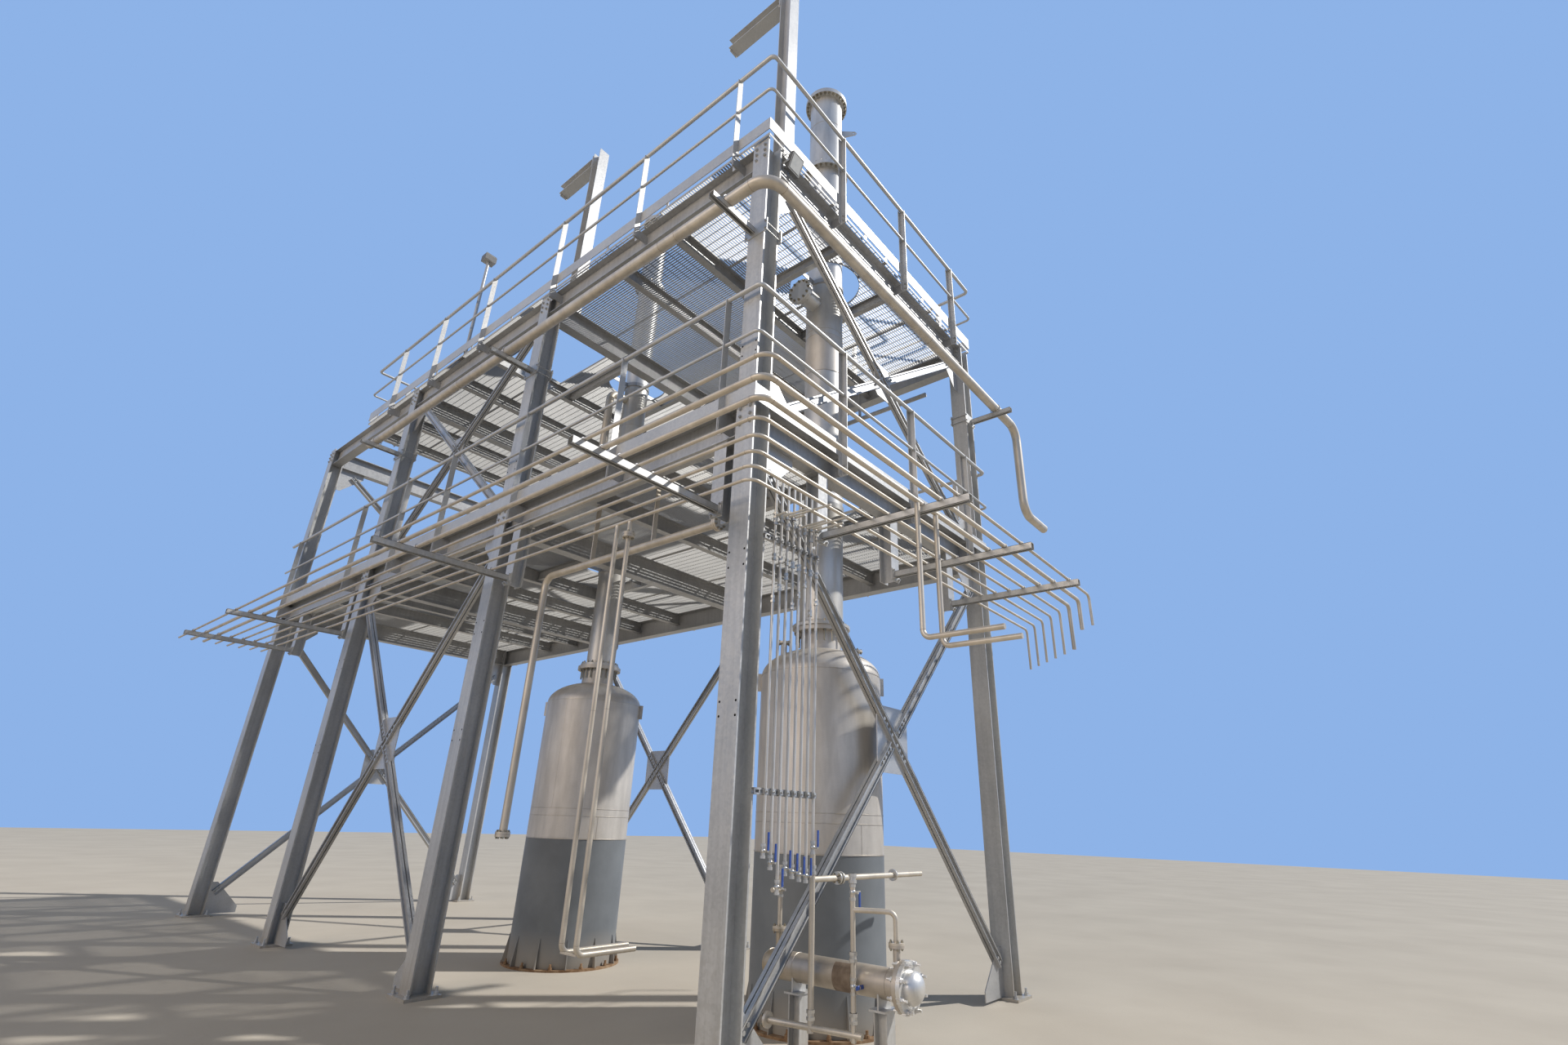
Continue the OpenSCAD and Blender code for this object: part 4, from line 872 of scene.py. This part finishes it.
def in_turn(count, *circles):
    return [spot for i in range(count) for ring in circles
            for spot in ring[i * len(ring) // count:(i + 1) * len(ring) // count]]


riser_x, riser_ys, low_pipe_x, low_pipe_y, low_pipe_z = -0.27, (1.13, 1.30), 0.3, 3.26, 3.945
run_bolts = bolt_circle((riser_x, riser_ys[0], 0), 2, 0.037, 4, [(3.7343, -1), (3.7783, 1)])
run_bolts += in_turn(8, bolt_circle((low_pipe_x, 0, low_pipe_z), 1, 0.054, 8, [(0.61, -1), (0.654, 1)]),
                     bolt_circle((low_pipe_x, low_pipe_y, 0), 2, 0.054, 8, [(1.33, -1), (1.374, 1)]))
bolts("pipe_flange_bolts", run_bolts, 0.012, nut_steel, 1.5, "stainless_pipe")
# the joint rings are near-black rings of painted shade in the gaps between flanges; the weld rings are brown
# heat tint
for name, spots, ring, finish in (
        ("pipe_flange_joint_shadows", [((riser_x, riser_ys[0], 3.7563), up)], 0.0518, hole_shadow),
        ("low_pipe_joint_shadows", [((low_pipe_x, 0.632, low_pipe_z), (0, 1, 0)),
                             ((low_pipe_x, low_pipe_y, 1.352), up)], 0.0698, hole_shadow),
        ("riser_welds", [((riser_x, y, z), up) for y in riser_ys for z in (0.71, 2.3)], 0.0202, weld_tint),
        ("drop_pipe_welds", [((x, -1.055, z), up) for x in (0.815, 1.12) for z in (2.863, 3.5)], 0.0212,
         weld_tint)):
    beads(name, spots, ring, 0.0012, finish)

# Large pipe at the upper deck: welded stainless, bent round the corner and dropped at the end of the
# short face. It lies on strut arms, each bolted to a plate that clamps round its column with rods,
# under a large U-bolt.
rounded(pipe_steel, "main_pipe_long", "main_pipe_short")
main_low, main_high, main_tip, main_y, main_x = 6.6227, 6.6827, 0.6603, (0.04, 3.75, 7.43), 4.25
main_off, main_z = 0.45, 6.74
main_arms = [bar for y in main_y
             for bar in strut((-main_tip, y - arm_half, main_low), (-0.1003, y + arm_half, main_high), 0)]
main_arms += strut((main_x - arm_half, -main_tip, main_low), (main_x + arm_half, -0.1123, main_high), 1)
clamp_low, clamp_high, rod_heights, rod_end = 6.58, 6.725, (6.61, 6.695), 0.118
clamp_bars, clamp_rods, clamp_spots = [], [], []
for y in column_y[:3]:
    clamp_bars += [between((x, y - 0.14, clamp_low), (x + 0.008, y + 0.14, clamp_high))
                   for x in (-0.108, 0.1)]
    for rod_y in (y - 0.118, y + 0.118):
        for z in rod_heights:
            clamp_rods.append([(-rod_end, rod_y, z), (rod_end, rod_y, z)])
            clamp_spots += [((way * 0.108, rod_y, z), (way, 0, 0)) for way in (-1, 1)]
clamp_bars += [between((4.06, y, clamp_low), (4.32, y + 0.008, clamp_high)) for y in (-0.108, 0.1)]
for x in (4.075, 4.305):
    for z in rod_heights:
        clamp_rods.append([(x, -rod_end, z), (x, rod_end, z)])
        clamp_spots += [((x, way * 0.108, z), (0, way, 0)) for way in (-1, 1)]
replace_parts(flat_bars("main_strut_arms", main_arms, column_zinc), "main_arms")
flat_bars("column_clamps", clamp_bars, column_zinc)
pipes("clamp_rods", clamp_rods, 0.006, bolt_zinc, "galvanised")
bolts("clamp_bolts", clamp_spots, 0.012, bolt_zinc, 1.2)
u_bolts("main_u_bolts", [((-main_off, y, main_z), 0) for y in main_y] + [((main_x, -main_off, main_z), 90)],
        0.0575, 0.006, 0.078)
beads("main_pipe_welds", [((-main_off, y, main_z), (0, 1, 0)) for y in (-0.25, 0.72, 0.95, 4.9)]
      + [((x, -main_off, main_z), (1, 0, 0)) for x in (-0.25, 2.4, 4.72)], 0.0572, 0.0016, weld_tint)

# Lifting posts on the upper deck: rolled posts on bolted feet, each with a level arm bolted to its
# side through an end plate, all galvanised and bright in the sun.
coat(("lifting_posts",), rail_zinc)
lift_x, foot_top = 0.36, 7.8753
lift_plates, lift_spots = [], []
for y in (0.11, 3.862):
    arm_start = y + 0.0803
    bolt_y, tip_y = arm_start + 0.012, arm_start + 0.855
    lift_plates += [between((0.27, arm_start, 10.735), (0.45, bolt_y, 10.945)),
                    between((0.30, tip_y, 10.72), (0.42, tip_y + 0.012, 10.76))]
    lift_plates += [between((x - 0.006, y - 0.05, foot_top), (x + 0.006, y + 0.05, 7.98))
                    for x in (lift_x - 0.085, lift_x + 0.085)]
    lift_spots += [((lift_x + i * 0.065, bolt_y, z), (0, 1, 0))
                   for i in (-1, 1) for z in (10.75, 10.84, 10.93)]
    lift_spots += [((lift_x + i * 0.105, y + j * 0.085, foot_top), up) for i in (-1, 1) for j in (-1, 1)]
flat_bars("lifting_plates", lift_plates, rail_zinc)
bolts("lifting_bolts", lift_spots, 0.018, bolt_zinc, 1.4)

# Lamp post and a floodlight under the upper deck's corner: grey cast housings with cooling ribs and
# a pale pane, on a steel tube and a bent bracket. The hoist rail is a round bar on bolted hangers.
housing_grey = zinc("weathered_housings", (0.10, 0.10, 0.105), (0.17, 0.17, 0.17), 90.0, 0.5, 0.1)
pane_glass = mottled("lamp_panes", (30.0, 3.0), ((0.3, (0.55, 0.57, 0.58)), (0.7, (0.66, 0.67, 0.67))),
                     (30.0, 3.0), (0.12, 0.24), 0.0002, specular=0.6)
rounded(beam_zinc, "lamp_post", "hoist_rail")
lamp_x, lamp_y = -0.06, 6.0
lamp_ribs = [((lamp_x, lamp_y - 0.06 + 0.02 * i, 9.86), (0.17, 0.005, 0.018)) for i in range(7)]
flood = Vector((0.23, -0.165, 7.70))
tip = turned_to((1, 0, 0), (0, -0.35, 0.94))
flood_parts = [(flood, (0.17, 0.05, 0.20), tip)]
flood_parts += [(flood + Vector((-0.075 + 0.025 * i, 0.018, 0.0)), (0.005, 0.05, 0.18), tip)
                for i in range(7)]
flood_pane = (flood + Vector((0, -0.0242, -0.009)), (0.14, 0.003, 0.16), tip)
for name, bars, finish in (
        ("lamp_ribs", lamp_ribs, housing_grey),
        ("lamp_housing", [((lamp_x, lamp_y, 9.7953), (0.184, 0.144, 0.102))], housing_grey),
        ("lamp_pane", [((lamp_x, lamp_y, 9.7433), (0.15, 0.11, 0.003))], pane_glass),
        ("floodlight_body", flood_parts, housing_grey), ("floodlight_pane", [flood_pane], pane_glass)):
    flat_bars(name, bars, finish, "dark_steel")
bracket = [(0.137, -0.17, 7.68, 0.141), (0.319, -0.17, 7.68, 0.323), (0.137, -0.082, 7.68, 0.323),
           (0.21, -0.082, 7.54, 0.25)]
flat_bars("floodlight_bracket", [between((x0, y0, z0), (x1, -0.078, 7.71)) for x0, y0, z0, x1 in bracket],
          bolt_zinc)
hoist_spots = [((3.93, y + side * 0.006, z), (0, side, 0)) for y in joist_y[:2] for side in (-1, 1)
               for z in (7.2, 7.58)]
bolts("hoist_rail_bolts", hoist_spots, 0.014, bolt_zinc, 1.3, "dark_steel")

# Utility tubes beside the corner column: thin stainless tubes with compression unions, clamped to
# slotted struts. Each ends in a ball valve with a lever in a blue plastic sleeve.
# the tubes' finish is paler than the other stainless pipes as painted sunlight, so they look sunlit though
# the decks above shade them
tube_steel = stainless("tubes_painted_sunlit", (0.62, 0.59, 0.54), (0.78, 0.75, 0.70), 0.28, 0.45)
fitting_steel = stainless("bright_fittings", (0.52, 0.50, 0.46), (0.70, 0.68, 0.64), 0.22, 0.7)
rounded(tube_steel, "utility_tubes")
tube_x = [0.175 + 0.078 * i for i in range(8)]
tube_feet = (1.400, 1.330, 1.180, 1.290, 1.270, 1.250, 1.240, 1.420)
tube_y = -0.1416
strut_start, strut_end = 0.075, tube_x[7] + 0.04
strut_back, strut_face, clamp_face = -0.1033, -0.1303, -0.1566
strut_sheets = ((strut_back, -0.1003, 0.0, 0.045), (strut_face, strut_back, 0.0, 0.003),
                (strut_face, strut_back, 0.042, 0.045), (strut_face, -0.1273, 0.003, 0.013),
                (strut_face, -0.1273, 0.032, 0.042))
slot_bars = [x for x in (strut_start + 0.05 * i for i in range(15)) if x < strut_end - 0.02]
strips, clamps, clamp_heads = [], [], []
for z in (1.70, 3.56):
    strips += [between((strut_start, y0, z + z0), (strut_end, y1, z + z1)) for y0, y1, z0, z1 in strut_sheets]
    strips += [between((x, strut_face, z + 0.013), (x + 0.012, -0.1273, z + 0.032)) for x in slot_bars]
    for x in tube_x:
        clamps += [between((x + x0, clamp_face, z + 0.006), (x + x1, y1, z + 0.039)) for x0, x1, y1 in (
            (-0.017, 0.017, -0.1536), (-0.017, -0.014, strut_face), (0.014, 0.017, strut_face))]
        clamp_heads.append(((x, clamp_face, z + 0.0225), (0, -1, 0)))
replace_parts(flat_bars("tube_struts", strips, brace_zinc), "tube_strips")
flat_bars("tube_clamps", clamps, bolt_zinc)
bolts("tube_clamp_bolts", clamp_heads, 0.008, bolt_zinc, 1.3)

tree, given = node_tree("compression_union", ("Across", "Length"))
nut_length = calc(tree, given["Length"], "*", 0.34)
union_tree = set_out(tree, given, join(tree, (
    prism(tree, 12, calc(tree, given["Across"], "*", 0.8), 0.0, given["Length"]),
    prism(tree, 6, given["Across"], 0.0, nut_length),
    prism(tree, 6, given["Across"], calc(tree, given["Length"], "*", 0.66), nut_length))), twist=True)
union_spots, branches, branch_foot = [], [], 3.755
for i, x in enumerate(tube_x):
    union_spots += [(x, tube_y, z) for z in (3.06 + 0.11 * (i % 3), 3.40, 3.70 + 0.04 * (i % 2))]
    branch_z = branch_foot + 0.025 + 0.02 * (i % 4)
    branches.append([(x, tube_y, branch_z), (x, -0.256 - 0.157 * (i % 3), branch_z)])


def unions(name, places, across, length):
    grow(name, union_tree, places, {"Across": across, "Length": length}, fitting_steel, "stainless_pipe")


unions("tube_unions", union_spots, 0.036, 0.055)
pipes("tube_branches", branches, 0.009, tube_steel)
unions("branch_unions", [(x, tube_y, branch_foot + 0.02 * (i % 4)) for i, x in enumerate(tube_x)], 0.04, 0.05)

tree, given = node_tree("ball_valve", ("Bore", "Height"))
half_up = calc(tree, given["Height"], "*", 0.5)
ball = step(tree, "GeometryNodeMeshUVSphere", {"Segments": 12, "Rings": 6,
                                               "Radius": calc(tree, given["Bore"], "*", 1.75)})
stem = prism(tree, 10, calc(tree, given["Bore"], "*", 1.5), 0.0, 0.046)
end_nut = prism(tree, 6, calc(tree, given["Bore"], "*", 3.4), 0.0, 0.018)
valve_tree = set_out(tree, given, join(tree, (
    prism(tree, 14, calc(tree, given["Bore"], "*", 2.6), 0.0, given["Height"]), end_nut,
    moved(tree, end_nut, z=calc(tree, given["Height"], "-", 0.018)), moved(tree, ball, z=half_up),
    moved(tree, stem, z=half_up, turn=(pi / 2, 0.0, 0.0)))))
valve_spots = [(x, tube_y, foot - 0.0903) for x, foot in zip(tube_x, tube_feet)]
valves = grow("ball_valves", valve_tree, valve_spots, {"Bore": 0.0105, "Height": 0.09}, fitting_steel,
              "stainless_pipe", smooth=40.0)
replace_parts(valves, "tube_valves")

tree, given = node_tree("sleeved_lever", ("Width", "Length"))
blade = prism(tree, 10, given["Width"], 0.0, given["Length"], scale=(1.0, 0.36, 1.0))
lever_tree = set_out(tree, given, blade)
blue_stops = ((0.35, (0.020, 0.055, 0.26)), (0.7, (0.035, 0.09, 0.36)))
lever_blue = mottled("blue_sleeves", (45.0, 5.0), blue_stops, (45.0, 5.0), (0.3, 0.5), 0.0003)
grow("valve_levers", lever_tree, [(x, y - 0.046, z + 0.05) for x, y, z in valve_spots],
     {"Width": 0.024, "Length": 0.11}, lever_blue, "blue_lever", smooth=50.0)

# Heat exchanger on two galvanised legs: a pickled stainless shell, tinted by the heat at its far
# end, with a bright domed cover held by eight swing bolts, and a bent brown plate round its middle.
shell_steel = stainless("exchanger_shell_steel", (0.44, 0.39, 0.33), (0.58, 0.52, 0.45), 0.36, 0.5,
                        ("Y", 0.15, 0.42, (0.40, 0.30, 0.15)))
cover_steel = stainless("bright_cover", (0.62, 0.61, 0.59), (0.78, 0.77, 0.75), 0.3, 0.5)
plate_brown = rust("brown_plate", ((0.3, (0.15, 0.11, 0.085)), (0.5, (0.20, 0.155, 0.12)),
                                   (0.7, (0.28, 0.225, 0.18))))
hx_x, hx_z, hx_r, hx_front = 0.90, 0.59, 0.092, -0.775
coat(("exchanger_legs",), column_zinc)
rounded(shell_steel, "exchanger_shell")
rounded(cover_steel, "exchanger_head")
beads("exchanger_seams", [((hx_x, y, hx_z), (0, 1, 0)) for y in (-0.745, -0.66, 0.10, 0.35)], hx_r + 0.0004,
      0.0022, seam_steel)
# a near-black ring of painted shade in the gap between the cover and the shell's flange
beads("exchanger_cover_joint_shadow", [((hx_x, hx_front - 0.0002, hx_z), (0, 1, 0))], hx_r + 0.0575, 0.0015, hole_shadow)
lugs = []
for a in [pi * (i + 0.5) / 4 for i in range(8)]:
    x, z = hx_x + 0.136 * cos(a), hx_z + 0.136 * sin(a)
    lean = turned_to((cos(a), 0, sin(a)), (-sin(a), 0, cos(a)))
    lugs += [((x + side * sin(a), -0.789, z - side * cos(a)), (0.034, 0.028, 0.005), lean)
             for side in (-0.014, 0.014)]
bolts("swing_bolts", bolt_circle((hx_x, 0, hx_z), 1, 0.136, 8, [(-0.8033, -1), (-0.747, 1)]),
      0.018, cover_steel, 2.4, "stainless_pipe")
flat_bars("swing_lugs", lugs, cover_steel, "stainless_pipe")
plate_in, plate_out, plate_front, plate_back = hx_r + 0.001, hx_r + 0.003, -0.396, -0.25
corners = ((plate_in, plate_front), (plate_out, plate_front), (plate_out, plate_back), (plate_in, plate_back))
form = bmesh.new()
arcs = [[form.verts.new((hx_x + r * cos(a), y, hx_z + r * sin(a))) for r, y in corners]
        for a in [radians(118 + 9 * i) for i in range(15)]]
for first, second in zip(arcs, arcs[1:]):
    for i in range(4):
        form.faces.new((first[i], first[(i + 1) % 4], second[(i + 1) % 4], second[i]))
for end in (arcs[0], arcs[-1]):
    form.faces.new(end)
bmesh.ops.recalc_face_normals(form, faces=form.faces)
mesh = bpy.data.meshes.new("exchanger_plate")
form.to_mesh(mesh)
form.free()
settle("exchanger_plate", mesh, plate_brown)
leg_spots = [((hx_x + i * 0.085, y + j * 0.045, 0.012), up)
             for y in (-0.6, 0.1) for i in (-1, 1) for j in (-1, 1)]
bolts("exchanger_leg_bolts", leg_spots, 0.012, bolt_zinc, 1.8)

# Pipes of the exchanger: two standing pipes between a low and a high level pipe, a bend down to the
# front nozzle and a short pipe with a valve on the rear one. They are stainless, welded, with bolted
# flanges, and two small valves with blue handles.
thick_stand, thin_stand = (0.721, -0.1416), (0.77, -0.45)
level_way = (Vector(thin_stand) - Vector(thick_stand)).normalized()
low_start, low_stop = Vector(thick_stand) - level_way * 0.33, Vector(thin_stand) + level_way * 0.06
nozzle_y, nozzle_z, low_z, high_z = (-0.705, 0.29), 0.8153, 0.30, 1.17
front, rear = [(hx_x, y) for y in nozzle_y]
made = pipes("exchanger_main_pipes", [
    [(*thick_stand, 0.27), (*thick_stand, 1.329)], [(*low_start, low_z), (*low_stop, low_z)],
    [(*thick_stand, high_z), (2.26, thick_stand[1], high_z)]], 0.0205, pipe_steel)
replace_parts(made, "exchanger_pipes")
pipes("exchanger_thin_pipes", [
    [(*thin_stand, 0.26), (*thin_stand, 1.20)], [(*thin_stand, 1.005), (*front, 1.005), (*front, nozzle_z)],
    [(*rear, nozzle_z), (*rear, 1.235)], [(*rear, 1.07), (0.80, rear[1], 1.07)]], 0.017, pipe_steel,
      bend=0.05)


def flange(name, radius, thick, centre, finish, axis="Z"):
    disc = [(0.0, 0.0), (radius, 0.0), (radius, thick), (0.0, thick)]
    turned(name, [disc], centre, finish, 32, axis)


for name, spot in (("front_nozzle_flange", front), ("rear_nozzle_flange", rear)):
    flange(name, 0.052, 0.014, (*spot, 0.8155), pipe_steel)
for number, x in enumerate((1.02, 1.055, 1.80), 1):
    flange("level_flange_%d" % number, 0.044, 0.012, (x, thick_stand[1], high_z), fitting_steel, "X")
flange("low_end_flange", 0.05, 0.02, (low_start.x, low_start.y - 0.012, low_z), pipe_steel, "Y")
nozzle_faces = [(0.8295, 1), (0.799, -1)]
pipe_bolts = in_turn(
    4, *(bolt_circle((*spot, 0), 2, 0.038, 4, nozzle_faces) for spot in (front, rear)),
    bolt_circle((0, thick_stand[1], high_z), 0, 0.033, 4, [(1.02, -1), (1.067, 1)]),
    bolt_circle((low_start.x, 0, low_z), 1, 0.04, 4, [(low_start.y + 0.018, 1)]))
bolts("exchanger_flange_bolts", pipe_bolts, 0.011, nut_steel, 1.6, "stainless_pipe")
grow("exchanger_valves", valve_tree, [(*thin_stand, 0.515), (*thin_stand, 1.06), (*rear, 1.02)],
     {"Bore": 0.0125, "Height": 0.10}, fitting_steel, "stainless_pipe", smooth=40.0)
unions("exchanger_unions", [(*thin_stand, 0.70), (*thin_stand, 0.36), (*thick_stand, 0.34),
                            (*thick_stand, 1.20), (*thin_stand, 1.165), (*rear, 1.17)], 0.056, 0.06)
grow("exchanger_levers", lever_tree, [(0.825, -0.47, 0.99), (0.73, -0.50, 0.565)],
     {"Width": 0.026, "Length": 0.12}, lever_blue, "blue_lever", smooth=50.0,
     turn=[(0, 0, 0), (0, pi / 2, 0)])
straps = [between((0.772, -0.472, 1.10), (0.834, -0.468, 1.118)),
          between((0.765, -0.505, 0.558), (0.775, -0.45, 0.572))]
flat_bars("lever_straps", straps, fitting_steel, "stainless_pipe")
